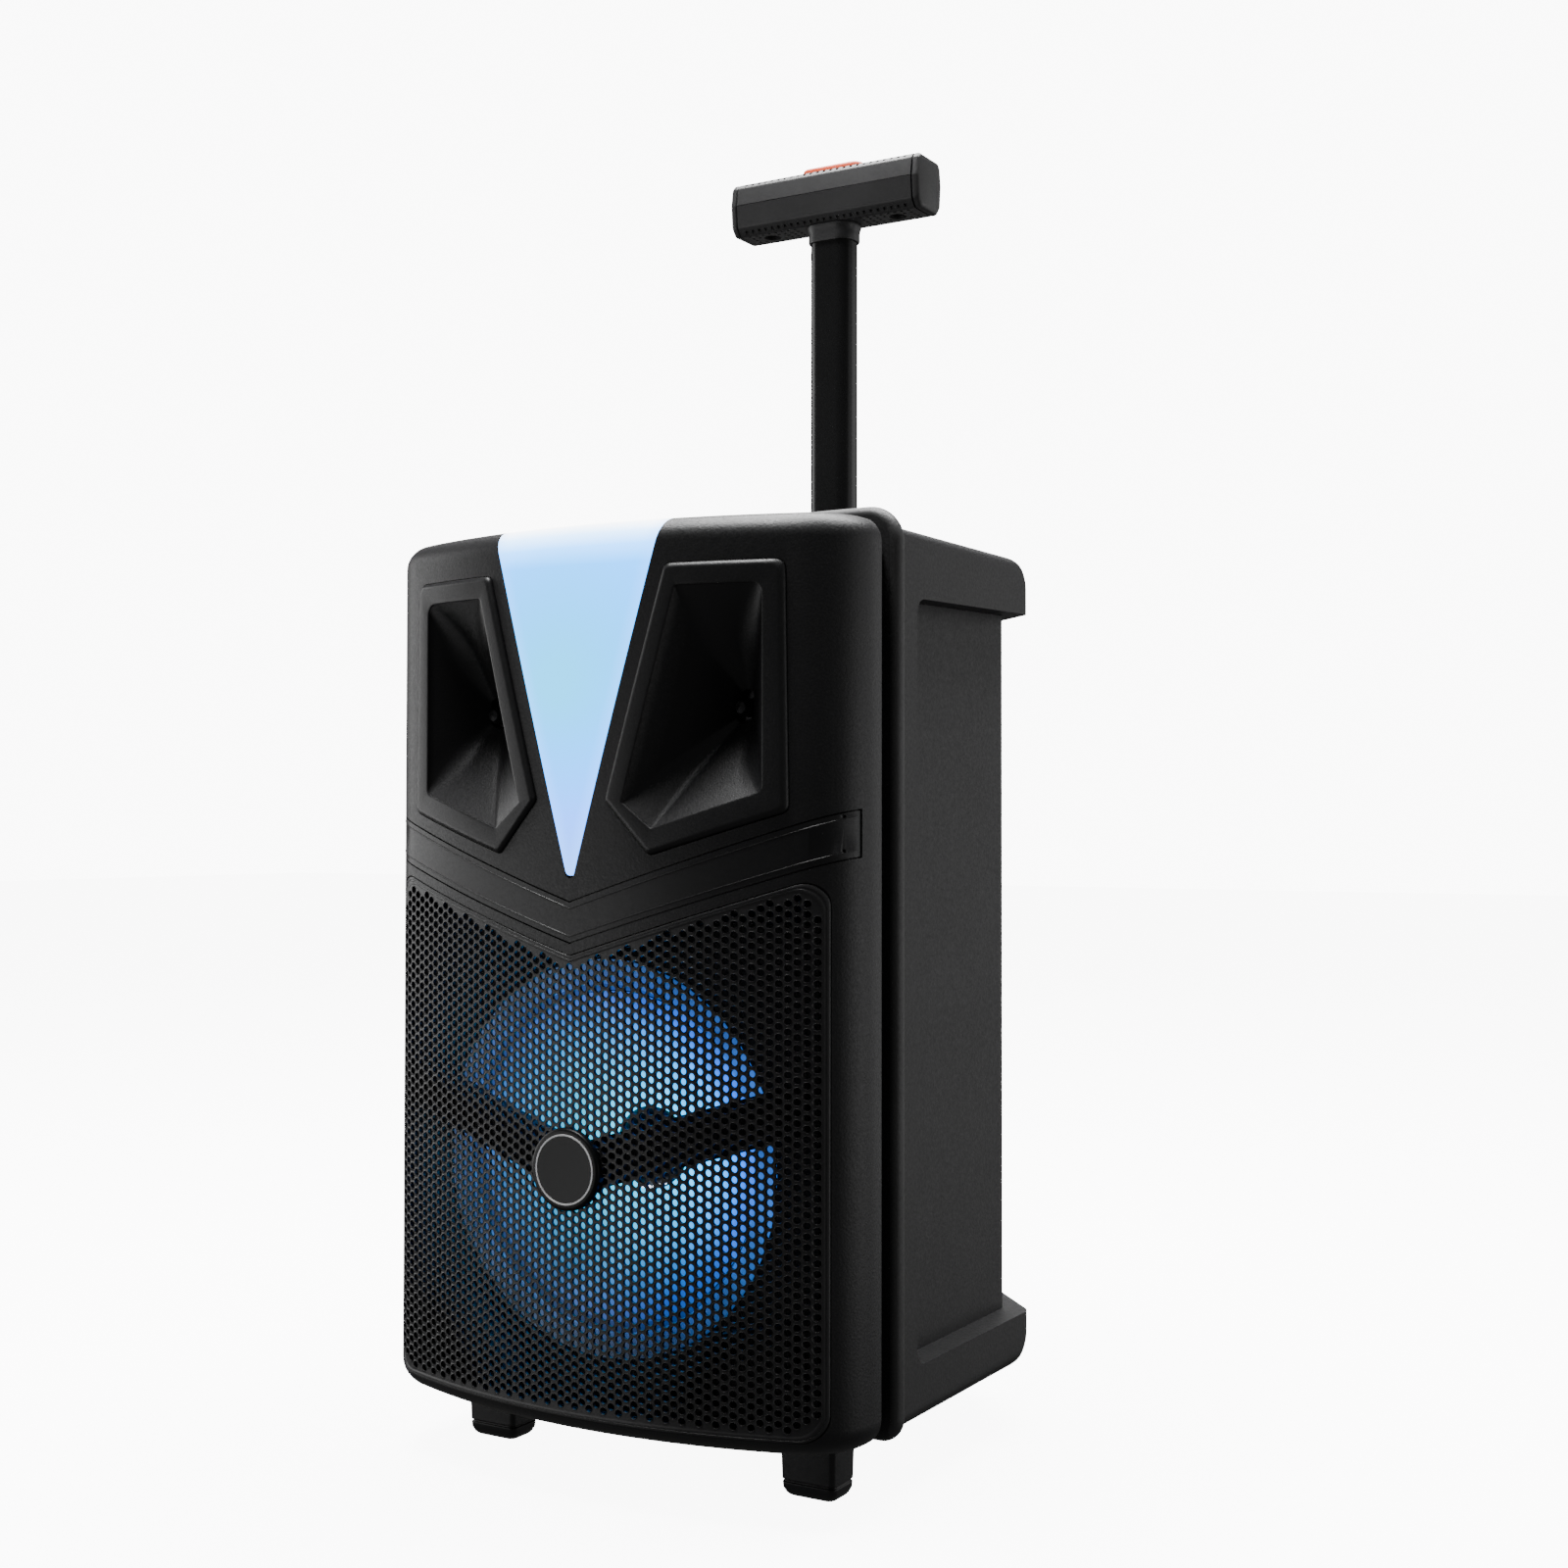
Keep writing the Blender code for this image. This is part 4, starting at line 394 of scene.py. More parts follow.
KNOB = plastic("knob_plastic", (0.014, 0.014, 0.015), 0.32, 0.6 * MM, 0.015 * MM)
KEY = rubber("key_rubber", (0.035, 0.035, 0.037), 0.6)
FOOT = plastic("foot_plastic", (0.010, 0.010, 0.011), 0.36, 0.9 * MM, 0.012 * MM)
HUB = plastic("hub_plastic", (0.03, 0.03, 0.032), 0.45, 0.8 * MM, 0.03 * MM)
ORANGE = plastic("button_plastic", (0.9, 0.10, 0.03), 0.38, 0.6 * MM, 0.02 * MM)
TYRE = rubber("tyre_rubber", (0.014, 0.014, 0.014))
FOAM = rubber("gasket_foam", (0.010, 0.010, 0.010), 0.85)
BADGE = plastic("badge_plastic", (0.004, 0.004, 0.0045), 0.36, 0.4 * MM, 0.001 * MM, 0.02, 0.3)
GLASS = gloss("display_gloss", (0.003, 0.003, 0.004), 0.05)
SCREW = metal("screw_steel", (0.16, 0.16, 0.17), 0.35)
BRIGHT = metal("spring_steel", (0.55, 0.55, 0.55), 0.3)
SOCKET = metal("socket_metal", (0.45, 0.45, 0.46), 0.3)
PRESSED = metal("pressed_steel", (0.05, 0.05, 0.052), 0.4, 0.8)
COPPER = metal("copper_wire", (0.72, 0.33, 0.16), 0.35)
FERRITE = metal("ferrite", (0.07, 0.07, 0.07), 0.6, 0.2)
WRAP = gloss("battery_wrap", (0.04, 0.07, 0.2), 0.3)
PRINT = gloss("printed_white", (0.85, 0.85, 0.86), 0.4)
SPIDER = weave("spider_cloth", (0.42, 0.26, 0.11), 0.8 * MM)
CIRCUIT = circuit("circuit_board")
LENS = lit_lens("milky_plastic")
CONE = lit_woofer("lit_cone", 5.2, 0.8, (0.02, 0.03, 0.04))
RING = lit_woofer("lit_ring", 3.8, 1.0, (0.3, 0.35, 0.4))
LAMP = lamp("white_lamp", 3.0)
SURROUND = lit_woofer("lit_surround", 2.6, 1.0, (0.01, 0.01, 0.01))


# ---------------------------------------------------------------- outlines
def arc(centre, radius, start, end, steps):
    """Points of a circular arc in degrees, both ends included."""
    points = []
    for step in range(steps + 1):
        turn = math.radians(start + (end - start) * step / steps)
        points.append((centre[0] + radius * math.cos(turn), centre[1] + radius * math.sin(turn)))
    return points


def rounded_polygon(corners, radius, arc_steps=8, edge_steps=1):
    """A polygon with round corners; radius is one value or one for each corner."""
    count = len(corners)
    radii = radius if isinstance(radius, (list, tuple)) else [radius] * count
    points = []
    for index in range(count):
        here = Vector(corners[index])
        to_last = (Vector(corners[index - 1]) - here).normalized()
        to_next = (Vector(corners[(index + 1) % count]) - here).normalized()
        half = to_last.angle(to_next) / 2
        reach = radii[index] / math.tan(half)
        centre = here + (to_last + to_next).normalized() * (radii[index] / math.sin(half))
        first = here + to_last * reach - centre
        last = here + to_next * reach - centre
        sweep = first.angle_signed(last) if radii[index] > 0 else 0
        for step in range(arc_steps + 1):
            turn = -sweep * step / arc_steps
            cosine, sine = math.cos(turn), math.sin(turn)
            points.append((centre.x + first.x * cosine - first.y * sine,
                           centre.y + first.x * sine + first.y * cosine))
    if edge_steps == 1:
        return points
    filled = []
    size = arc_steps + 1
    for index, point in enumerate(points):
        filled.append(point)
        if index % size == size - 1:
            after = points[(index + 1) % len(points)]
            for step in range(1, edge_steps):
                part = step / edge_steps
                filled.append((point[0] + (after[0] - point[0]) * part,
                               point[1] + (after[1] - point[1]) * part))
    return filled


def rounded_box_outline(half_x, half_y, radius, steps=8, centre=(0, 0)):
    corners = [(half_x, half_y), (-half_x, half_y), (-half_x, -half_y), (half_x, -half_y)]
    corners = [(x + centre[0], y + centre[1]) for x, y in corners]
    return rounded_polygon(corners, radius, steps)


def offset_polygon(corners, distance):
    """Corners moved so that each edge of an anticlockwise polygon moves out by the distance."""
    moved = []
    count = len(corners)
    for index in range(count):
        here = Vector(corners[index])
        last_edge = (here - Vector(corners[index - 1])).normalized()
        next_edge = (Vector(corners[(index + 1) % count]) - here).normalized()
        normal_a = Vector((last_edge.y, -last_edge.x))
        normal_b = Vector((next_edge.y, -next_edge.x))
        shift = (normal_a + normal_b) / (1 + normal_a.dot(normal_b))
        moved.append(tuple(here + shift * distance))
    return moved


def mirrored(outline, side):
    return [(x * side, z) for x, z in outline]


def in_mm(points):
    return [(first * MM, second * MM) for first, second in points]


def level(outline, z):
    """A ring of points at one height from an outline in x and y."""
    return [(x, y, z) for x, y in outline]


def upright(outline, y):
    """A ring of points at one depth from an outline in x and z."""
    return [(x, y, z) for x, z in outline]


# ---------------------------------------------------------------- solids
def finish_mesh(bm):
    """The form with doubled points merged and its faces turned outwards."""
    bmesh.ops.remove_doubles(bm, verts=bm.verts, dist=1e-7)
    bmesh.ops.recalc_face_normals(bm, faces=bm.faces)
    return bm


def loft(rings, closed=False):
    """Skin through rings of equal length; ends are capped, or joined to each other if closed."""
    bm = bmesh.new()
    rows = [[bm.verts.new(point) for point in ring] for ring in rings]
    count = len(rows[0])
    pairs = list(zip(rows, rows[1:]))
    if closed:
        pairs.append((rows[-1], rows[0]))
    for lower, upper in pairs:
        for index in range(count):
            after = (index + 1) % count
            bm.faces.new((lower[index], lower[after], upper[after], upper[index]))
    if not closed:
        bm.faces.new(rows[0])
        bm.faces.new(list(reversed(rows[-1])))
    return finish_mesh(bm)


def prism_z(outline, bottom, top):
    return loft([level(outline, bottom), level(outline, top)])


def prism_y(outline, front, rear):
    return loft([upright(outline, front), upright(outline, rear)])


def prism_x(outline, left, right):
    return loft([[(x, y, z) for y, z in outline] for x in (left, right)])


def box(x, y, z):
    return prism_z([(x[0], y[0]), (x[1], y[0]), (x[1], y[1]), (x[0], y[1])], z[0], z[1])


def turned(profile, centre, axis, steps=64, ring=False):
    """A profile of (radius, height) points turned about an axis through the centre."""
    frames = {"X": ((0, 1, 0), (0, 0, 1), (1, 0, 0)),
              "Y": ((0, 0, 1), (1, 0, 0), (0, 1, 0)),
              "Z": ((1, 0, 0), (0, 1, 0), (0, 0, 1))}
    across, up, along = [Vector(part) for part in frames[axis]]
    centre = Vector(centre)
    bm = bmesh.new()
    rows = []
    for radius, height in profile:
        base = centre + along * height
        if radius < 1e-6:
            rows.append([bm.verts.new(base)])
            continue
        row = []
        for step in range(steps):
            turn = math.tau * step / steps
            row.append(bm.verts.new(base + radius * (across * math.cos(turn) + up * math.sin(turn))))
        rows.append(row)
    pairs = list(zip(rows, rows[1:]))
    if ring:
        pairs.append((rows[-1], rows[0]))
    for lower, upper in pairs:
        for index in range(steps):
            after = (index + 1) % steps
            if len(lower) == 1:
                bm.faces.new((lower[0], upper[after], upper[index]))
            elif len(upper) == 1:
                bm.faces.new((lower[index], lower[after], upper[0]))
            else:
                bm.faces.new((lower[index], lower[after], upper[after], upper[index]))
    return finish_mesh(bm)


def cylinder(radius, start, end, centre, axis, steps=48):
    """A cylinder along an axis through the centre, from a start to an end on that axis."""
    return turned([(0, start), (radius, start), (radius, end), (0, end)], centre, axis, steps)


def joined(parts):
    """Several separate closed forms as one mesh."""
    whole = bmesh.new()
    for part in parts:
        mesh = bpy.data.meshes.new("part")
        part.to_mesh(mesh)
        part.free()
        whole.from_mesh(mesh)
        bpy.data.meshes.remove(mesh)
    return whole


# ---------------------------------------------------------------- pieces
def make(name, bm, look):
    """An object from a mesh drawn in the speaker's frame."""
    mesh = bpy.data.meshes.new(name)
    bm.to_mesh(mesh)
    bm.free()
    item = bpy.data.objects.new(name, mesh)
    bpy.context.scene.collection.objects.link(item)
    if look:
        mesh.materials.append(look)
    return item


def combine(item, tools, operation="DIFFERENCE"):
    """Cuts the tools from a piece, or joins or intersects them with it."""
    for tool in tools:
        helper = make("tool", tool, None)
        change = item.modifiers.new("combine", "BOOLEAN")
        change.object = helper
        change.operation = operation
        change.solver = "EXACT"
        bpy.context.view_layer.update()
        graph = bpy.context.evaluated_depsgraph_get()
        mesh = bpy.data.meshes.new_from_object(item.evaluated_get(graph))
        item.modifiers.clear()
        old = item.data
        item.data = mesh
        bpy.data.meshes.remove(old)
        bpy.data.objects.remove(helper, do_unlink=True)
    return item


def soften(item, width, segments=2):
    """Rounds the sharp edges and shades the rest smooth."""
    if width:
        change = item.modifiers.new("edges", "BEVEL")
        change.width = width
        change.segments = segments
        change.limit_method = "ANGLE"
        change.angle_limit = math.radians(30)
        change.use_clamp_overlap = True
    item.data.shade_smooth()
    item.data.set_sharp_from_angle(angle=math.radians(38))
    return item


def form_of(item):
    """The form of a helper object, which leaves the scene."""
    bm = bmesh.new()
    bm.from_mesh(item.data)
    bpy.data.objects.remove(item, do_unlink=True)
    return bm


def settle(item, body, nodes=()):
    """Puts a finished piece in the frame: place, body, the CAD nodes that it stands for."""
    item.data.transform(Matrix.Translation(SHIFT))
    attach(item, body)
    if nodes:
        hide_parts(*nodes)
    return item


def piece(name, bm, look, body, nodes=(), width=0.0, segments=2):
    """A whole piece from its form: made, its edges rounded by the width, and put in the frame."""
    return settle(soften(make(name, bm, look), width, segments), body, nodes)


def refine(node, body, look, width=0.4 * MM, segments=2):
    """A CAD node's own form with its edges rounded."""
    bm = bmesh.new()
    bm.from_mesh(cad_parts[node].data)
    bmesh.ops.remove_doubles(bm, verts=bm.verts, dist=1e-6)
    bmesh.ops.dissolve_limit(bm, angle_limit=math.radians(0.5), verts=bm.verts, edges=bm.edges)
    bmesh.ops.translate(bm, verts=bm.verts, vec=-SHIFT)
    return piece(node + "_finished", bm, look, body, [node], width, segments)


# ---------------------------------------------------------------- the bowed front
SHOULDER_X = SHELL_HALF_WIDTH - SHOULDER_RADIUS
SHOULDER_Y = BOW_RADIUS - math.sqrt((BOW_RADIUS - SHOULDER_RADIUS) ** 2 - SHOULDER_X ** 2)
SHOULDER_TURN = math.degrees(math.asin(SHOULDER_X / (BOW_RADIUS - SHOULDER_RADIUS)))


def front_y(x, inset=0.0):
    """Depth of the front surface at x, on the surface that lies inset below the skin."""
    x = abs(x)
    bow = BOW_RADIUS - inset
    if x <= bow * math.sin(math.radians(SHOULDER_TURN)):
        return BOW_RADIUS - math.sqrt(bow * bow - x * x)
    reach = SHOULDER_RADIUS - inset
    across = min(x - SHOULDER_X, reach)
    return SHOULDER_Y - math.sqrt(reach * reach - across * across)


def skin_y(x, depth):
    """Depth at x of a surface below the skin, or proud of it where depth is negative."""
    return front_y(x) + depth if depth < 0 else front_y(x, depth)


def shell_plan(inset, rear):
    """Plan of the front shell, anticlockwise from above, from its right rear corner."""
    reach = SHOULDER_RADIUS - inset
    end = math.degrees(math.asin(min(0, max(-1, (SHELL_REAR - SHOULDER_Y) / reach))))
    right = arc((SHOULDER_X, SHOULDER_Y), reach, end, SHOULDER_TURN - 90, 14)
    front = arc((0, BOW_RADIUS), BOW_RADIUS - inset, SHOULDER_TURN - 90, -SHOULDER_TURN - 90, 48)
    right = [(right[0][0], rear)] + right
    left = [(-x, y) for x, y in reversed(right)]
    return right + front[1:-1] + left


def shell_solid(inset, rear):
    """The front shell's outer form, or with an inset the space inside its walls."""
    low = BOTTOM_ROUND - inset
    high = TOP_ROUND - inset
    turns = [math.pi / 2 * step / 8 for step in range(9)]
    rings = [(SHELL_BOTTOM + inset + low * (1 - math.cos(turn)), inset + low * (1 - math.sin(turn)))
             for turn in turns]
    rings += [(SHELL_TOP - inset - high * (1 - math.cos(turn)), inset + high * (1 - math.sin(turn)))
              for turn in reversed(turns)]
    return loft([level(shell_plan(depth, rear), z) for z, depth in rings])


def front_stations(end):
    """Even steps over the bow and even turns round the shoulders, from one end to the other."""
    inner, outer = 24, 12
    first = math.radians(SHOULDER_TURN)
    last = math.asin((end - SHOULDER_X) / SHOULDER_RADIUS)
    half = [BOW_RADIUS * math.sin(first) * step / inner for step in range(inner + 1)]
    for step in range(1, outer + 1):
        turn = first + (last - first) * step / outer
        half.append(SHOULDER_X + SHOULDER_RADIUS * math.sin(turn))
    return [-x for x in reversed(half[1:])] + half


def bowed_slab(outline, front, rear):
    """A slab between two surfaces that follow the bowed front, cut to an outline in x and z."""
    bm = prism_y(outline, -1, 1)
    for place in front_stations(max(point[0] for point in outline))[1:-1]:
        everything = bm.verts[:] + bm.edges[:] + bm.faces[:]
        bmesh.ops.bisect_plane(bm, geom=everything, plane_co=(place, 0, 0), plane_no=(1, 0, 0))
    for point in bm.verts:
        point.co.y = front_y(point.co.x, rear if point.co.y > 0 else front)
    return finish_mesh(bm)


def bowed_section(stations, section_at):
    """A bar along x; section_at(x) gives its section as (depth below the front, z) points."""
    return loft([[(x, skin_y(x, depth), z) for depth, z in section_at(x)] for x in stations])


def lens_outline(grow):
    top = SHELL_TOP + 20 * MM
    half = LENS_SPREAD * (top - LENS_TIP_Z)
    corners = offset_polygon([(0, LENS_TIP_Z), (half, top), (-half, top)], grow)
    return rounded_polygon(corners, [2.4 * MM, 0, 0], 8)


def grille_outline(inset, edge_steps=1):
    half = GRILLE_HALF_WIDTH - inset
    shoulder = GRILLE_APEX_Z + GRILLE_SLOPE * half - inset * math.hypot(1, GRILLE_SLOPE)
    apex = GRILLE_APEX_Z - inset * math.hypot(1, GRILLE_SLOPE)
    corners = [(half, GRILLE_BOTTOM + inset), (half, shoulder), (0, apex),
               (-half, shoulder), (-half, GRILLE_BOTTOM + inset)]
    corner = 11 * MM - inset / 2
    return rounded_polygon(corners, [corner, 9 * MM, 0.5 * MM, 9 * MM, corner], 8, edge_steps)


def horn_outline(corners, grow, radii):
    return rounded_polygon(offset_polygon(in_mm(corners), grow), radii, 6, 8)


def trim_z(x, upper, shift=0.0):
    if upper:
        return TRIM_UPPER_Z + TRIM_SLOPE * abs(x) + shift
    return TRIM_LOWER_Z + TRIM_LOWER_SLOPE * abs(x) + shift


def make_front_shell():
    """Bowed shell with its openings: the wedge, the grille's pocket, the horns and the groove."""
    shell = make("front_shell_moulding", shell_solid(0, SHELL_REAR), SHELL)
    groove = 0.7 * MM
    trim_groove = bowed_section(front_stations(TRIM_END_X + groove), lambda x: [
        (-PAST_FRONT, trim_z(x, False, -groove)), (-PAST_FRONT, trim_z(x, True, groove)),
        (TRIM_DEPTH, trim_z(x, True, groove)), (TRIM_DEPTH, trim_z(x, False, -groove))])
    cutters = [shell_solid(SHELL_WALL, SHELL_REAR + 8 * MM),
               prism_y(lens_outline(GAP), -PAST_FRONT, LENS_REAR),
               bowed_slab(grille_outline(-GAP), -4 * MM, GRILLE_POCKET),
               prism_y(grille_outline(GRILLE_LEDGE), -PAST_FRONT, BEHIND_FRONT), trim_groove]
    for side in (1, -1):
        opening = horn_outline(HORN_CORNERS, GAP, [radius * MM + GAP for radius in FRAME_RADII])
        cutters.append(prism_y(mirrored(opening, side), -PAST_FRONT, BEHIND_FRONT))
    combine(shell, cutters)
    settle(soften(shell, 0.35 * MM), "cabinet", ["front_shell"])


def make_trim():
    """Chevron band with a fine raised line inside each of its edges, and end dots."""
    border, line, proud, slant = 2.1 * MM, 0.8 * MM, -0.22 * MM, 0.22 * MM
    dot_radius, dot_depth, from_end, from_edge = 0.7 * MM, 0.9 * MM, 3.4 * MM, 2.4 * MM

    def section(x):
        low, high = trim_z(x, False), trim_z(x, True)
        front = [(0, low), (0, low + border), (proud, low + border + slant),
                 (proud, low + border + line - slant), (0, low + border + line),
                 (0, high - border - line), (proud, high - border - line + slant),
                 (proud, high - border - slant), (0, high - border), (0, high)]
        return front + [(TRIM_DEPTH - GAP, high), (TRIM_DEPTH - GAP, low)]

    trim = make("chevron_band", bowed_section(front_stations(TRIM_END_X), section), TRIM)
    cuts = []
    for side in (1, -1):
        for z in (trim_z(TRIM_END_X, False, from_edge), trim_z(TRIM_END_X, True, -from_edge)):
            x = (TRIM_END_X - from_end) * side
            y = front_y(x)
            cuts.append(cylinder(dot_radius, y - PAST_FRONT, y + dot_depth, (x, 0, z), "Y", 16))
    combine(trim, [joined(cuts)])
    settle(soften(trim, 0), "cabinet", ["chevron_trim"])


def make_lens():
    """The shell's own skin where the wedge cuts through it; its light reaches no other piece."""
    lens = make("light_wedge", shell_solid(0, SHELL_REAR), LENS)
    combine(lens, [shell_solid(SHELL_WALL, SHELL_REAR + 8 * MM)])
    combine(lens, [prism_y(lens_outline(0), -PAST_FRONT, LENS_REAR - GAP)], "INTERSECT")
    lens.visible_diffuse = False
    lens.visible_glossy = False
    settle(soften(lens, 0.3 * MM), "cabinet", ["light_lens"])


def make_horn(name, side):
    """Flat frame with a bevelled rim, and a funnel of flat walls that narrows to the throat."""
    def on_front(corners, radii, grow, depth):
        outline = horn_outline(corners, grow * MM, [(radius + grow * 0.6) * MM for radius in radii])
        return [(x * side, front_y(x) + depth * MM, z) for x, z in outline]

    mouth = horn_outline(MOUTH_CORNERS, 0, [radius * MM for radius in MOUTH_RADII])
    deep = horn_outline(MOUTH_CORNERS, 0, [radius * MM for radius in DEEP_RADII])
    middle = Vector((sum(x for x, z in mouth) / len(mouth), sum(z for x, z in mouth) / len(mouth)))

    def funnel(share, wall=0.0, back=0.0):
        """The outline part of the way from the mouth to a small copy of itself at the throat."""
        ring = []
        for sharp, round_one in zip(mouth, deep):
            place = Vector(sharp).lerp(Vector(round_one), min(1.0, share * 2))
            away = (place - middle).normalized() * wall
            throat = Vector((THROAT.x, THROAT.z)) + (place - middle) * THROAT_SHARE
            here = place * (1 - share) + throat * share + away
            depth = (front_y(sharp[0]) - 1.3 * MM) * (1 - share) + THROAT.y * share + back
            ring.append((here.x * side, depth, here.y))
        return ring

    wall, throat_length = 2.2 * MM, 3 * MM
    rings = [on_front(HORN_CORNERS, FRAME_RADII, 0, HORN_FLANGE_BACK / MM)]
    for inset, depth in ((0, -0.1), (0.15, -0.7), (0.6, -1.3), (1.5, -1.95), (2.2, -2.2), (2.8, -2.2)):
        rings.append(on_front(HORN_CORNERS, FRAME_RADII, -inset, depth))
    for grow, depth in ((0.9, -2.2), (0.4, -2.1), (0.1, -1.85)):
        rings.append(on_front(MOUTH_CORNERS, MOUTH_RADII, grow, depth))
    rings += [funnel(step / 10) for step in range(11)]
    rings += [funnel(1, 0, throat_length), funnel(1, wall, throat_length), funnel(0.92, wall),
              funnel(0.5, wall), funnel(0.04, wall, HORN_FLANGE_BACK)]
    piece(name + "_moulding", loft(rings, closed=True), HORN, "cabinet", [name])
    plug = [(0, 0.5), (0.6, 0.6), (1.1, 0.95), (1.35, 1.5), (1.4, 2.4), (1.4, 8), (0, 8)]
    centre = (THROAT.x * side, THROAT.y - 4 * MM, THROAT.z)
    piece(name + "_plug", turned(in_mm(plug), centre, "Y", 32), INNER, "cabinet")


# ---------------------------------------------------------------- perforated grille
def inside(point, outline):
    """Even-odd test of a point against a closed outline."""
    x, z = point
    hit = False
    for (ax, az), (bx, bz) in zip(outline, outline[1:] + outline[:1]):
        if (az > z) != (bz > z) and x < (bx - ax) * (z - az) / (bz - az) + ax:
            hit = not hit
    return hit


def held_inside(point, outline):
    """The point itself, or the nearest point of the outline if it lies outside."""
    if inside(point, outline):
        return point
    place = Vector(point)
    best = None
    for first, second in zip(outline, outline[1:] + outline[:1]):
        start = Vector(first)
        edge = Vector(second) - start
        part = max(0.0, min(1.0, (place - start).dot(edge) / edge.length_squared))
        near = start + edge * part
        if best is None or (near - place).length < (best - place).length:
            best = near
    return (best.x, best.y)


def make_grille():
    """A bowed plate of six-cornered cells, each with one round hole, or blind at the border."""
    edge = grille_outline(0.5 * MM)
    open_edge = grille_outline(3.9 * MM)
    lip_width, crest_width, crest_height, bore_depth = 0.36 * MM, 0.15 * MM, 0.18 * MM, 0.15 * MM
    bm = bmesh.new()
    corner_cache = {}

    def corner(column, half_row, back):
        key = (column, half_row, back)
        if key not in corner_cache:
            flat = ((column - 0.5) * HOLE_PITCH_X, half_row * HOLE_PITCH_Z / 2)
            x, z = held_inside(flat, edge)
            depth = PLATE_THICKNESS if back else 0.0
            corner_cache[key] = bm.verts.new((x, front_y(x, depth), z))
        return corner_cache[key]

    def ring(x, z, radius, depth):
        points = []
        for step in range(HOLE_SIDES):
            turn = math.tau * (step + 0.5) / HOLE_SIDES
            px, pz = x + radius * math.cos(turn), z + radius * math.sin(turn)
            points.append(bm.verts.new((px, skin_y(px, depth), pz)))
        return points

    def cell(column, row):
        """Corners run anticlockwise from the lower right, each side with a middle point."""
        half = 2 * row + (column % 2)
        places = [(column + 1, half - 1), (column + 1, half), (column + 1, half + 1),
                  (column, half + 1), (column, half), (column, half - 1)]
        centre = (column * HOLE_PITCH_X, half * HOLE_PITCH_Z / 2)
        return centre, places

    def plate(corners, hole, back):
        """Six faces between the cell's corners and a hole, which starts at a turn of 15 degrees."""
        start = {0: -2, 1: 0, 2: 1, 3: 4, 4: 6, 5: 7}
        for index in range(6):
            first = start[index] % HOLE_SIDES
            last = start[(index + 1) % 6] % HOLE_SIDES
            span = (last - first) % HOLE_SIDES
            arc_points = [hole[(first + step) % HOLE_SIDES] for step in range(span + 1)]
            face = [corners[index], corners[(index + 1) % 6]] + list(reversed(arc_points))
            if back:
                face.reverse()
            bm.faces.new(face)

    columns = int(GRILLE_HALF_WIDTH / HOLE_PITCH_X) + 2
    rows = int((GRILLE_APEX_Z + GRILLE_SLOPE * GRILLE_HALF_WIDTH) / HOLE_PITCH_Z) + 2
    limit = grille_outline(-1.2 * MM)
    for column in range(-columns, columns + 1):
        for row in range(rows):
            centre, places = cell(column, row)
            if not inside(centre, limit):
                continue
            front = [corner(a, b, False) for a, b in places]
            rear = [corner(a, b, True) for a, b in places]
            if inside(centre, open_edge):
                lip = ring(*centre, HOLE_RADIUS + lip_width, 0.0)
                crest = ring(*centre, HOLE_RADIUS + crest_width, -crest_height)
                throat = ring(*centre, HOLE_RADIUS, bore_depth)
                exit_ring = ring(*centre, HOLE_RADIUS, PLATE_THICKNESS)
                plate(front, lip, False)
                for outer, inner in ((lip, crest), (crest, throat), (throat, exit_ring)):
                    for step in range(HOLE_SIDES):
                        after = (step + 1) % HOLE_SIDES
                        bm.faces.new((outer[step], outer[after], inner[after], inner[step]))
                plate(rear, exit_ring, True)
            else:
                bm.faces.new(front)
                bm.faces.new(list(reversed(rear)))
    bmesh.ops.dissolve_degenerate(bm, dist=1e-6, edges=bm.edges)
    piece("woofer_grille_plate", bm, GRILLE, "cabinet", ["woofer_grille"])


def make_grille_border():
    """Solid rim over the plate's edge with a double line."""
    profile = [(0.1, 1.9), (0.1, 0.15), (0.35, -0.1), (1.0, -0.15), (1.2, 0.15), (1.5, 0.15),
               (1.7, -0.15), (2.5, -0.15), (2.8, 0.05), (2.8, 1.9)]
    rings = [[(x, skin_y(x, depth), z) for x, z in grille_outline(inset, 30)]
             for inset, depth in in_mm(profile)]
    piece("woofer_grille_rim", loft(rings, closed=True), GRILLE, "cabinet")


def make_badge():
    """Plain dark disc with a thin pale ring let into its face."""
    edge = BADGE_RADIUS
    profile = [(0, -BADGE_PROUD + 0.25 * MM), (edge - 6 * MM, -BADGE_PROUD + 0.12 * MM),
               (edge - 3.3 * MM, -BADGE_PROUD), (edge - 1.4 * MM, -BADGE_PROUD),
               (edge - 0.6 * MM, -BADGE_PROUD + 0.25 * MM), (edge - 0.15 * MM, -BADGE_PROUD + 0.9 * MM),
               (edge, -BADGE_PROUD + 1.6 * MM), (edge, -GAP), (0, -GAP)]
    centre = (0, 0, BADGE_Z)
    piece("badge_disc", turned(profile, centre, "Y", 96), BADGE, "cabinet", ["badge"])
    face = -BADGE_PROUD - 0.02 * MM
    pale = [(14.3 * MM, face + 0.15 * MM), (14.4 * MM, face - 0.1 * MM),
            (15.1 * MM, face - 0.1 * MM), (15.2 * MM, face + 0.15 * MM)]
    piece("badge_ring", turned(pale, centre, "Y", 96, ring=True), PRINT, "cabinet")


# ---------------------------------------------------------------- woofer
def woofer(name, profile, look, body, node, ring=True):
    """A piece of the driver, turned about its axis from a profile in millimetres."""
    piece(name, turned(in_mm(profile), (0, 0, WOOFER_Z), "Y", 96, ring), look, body, [node])


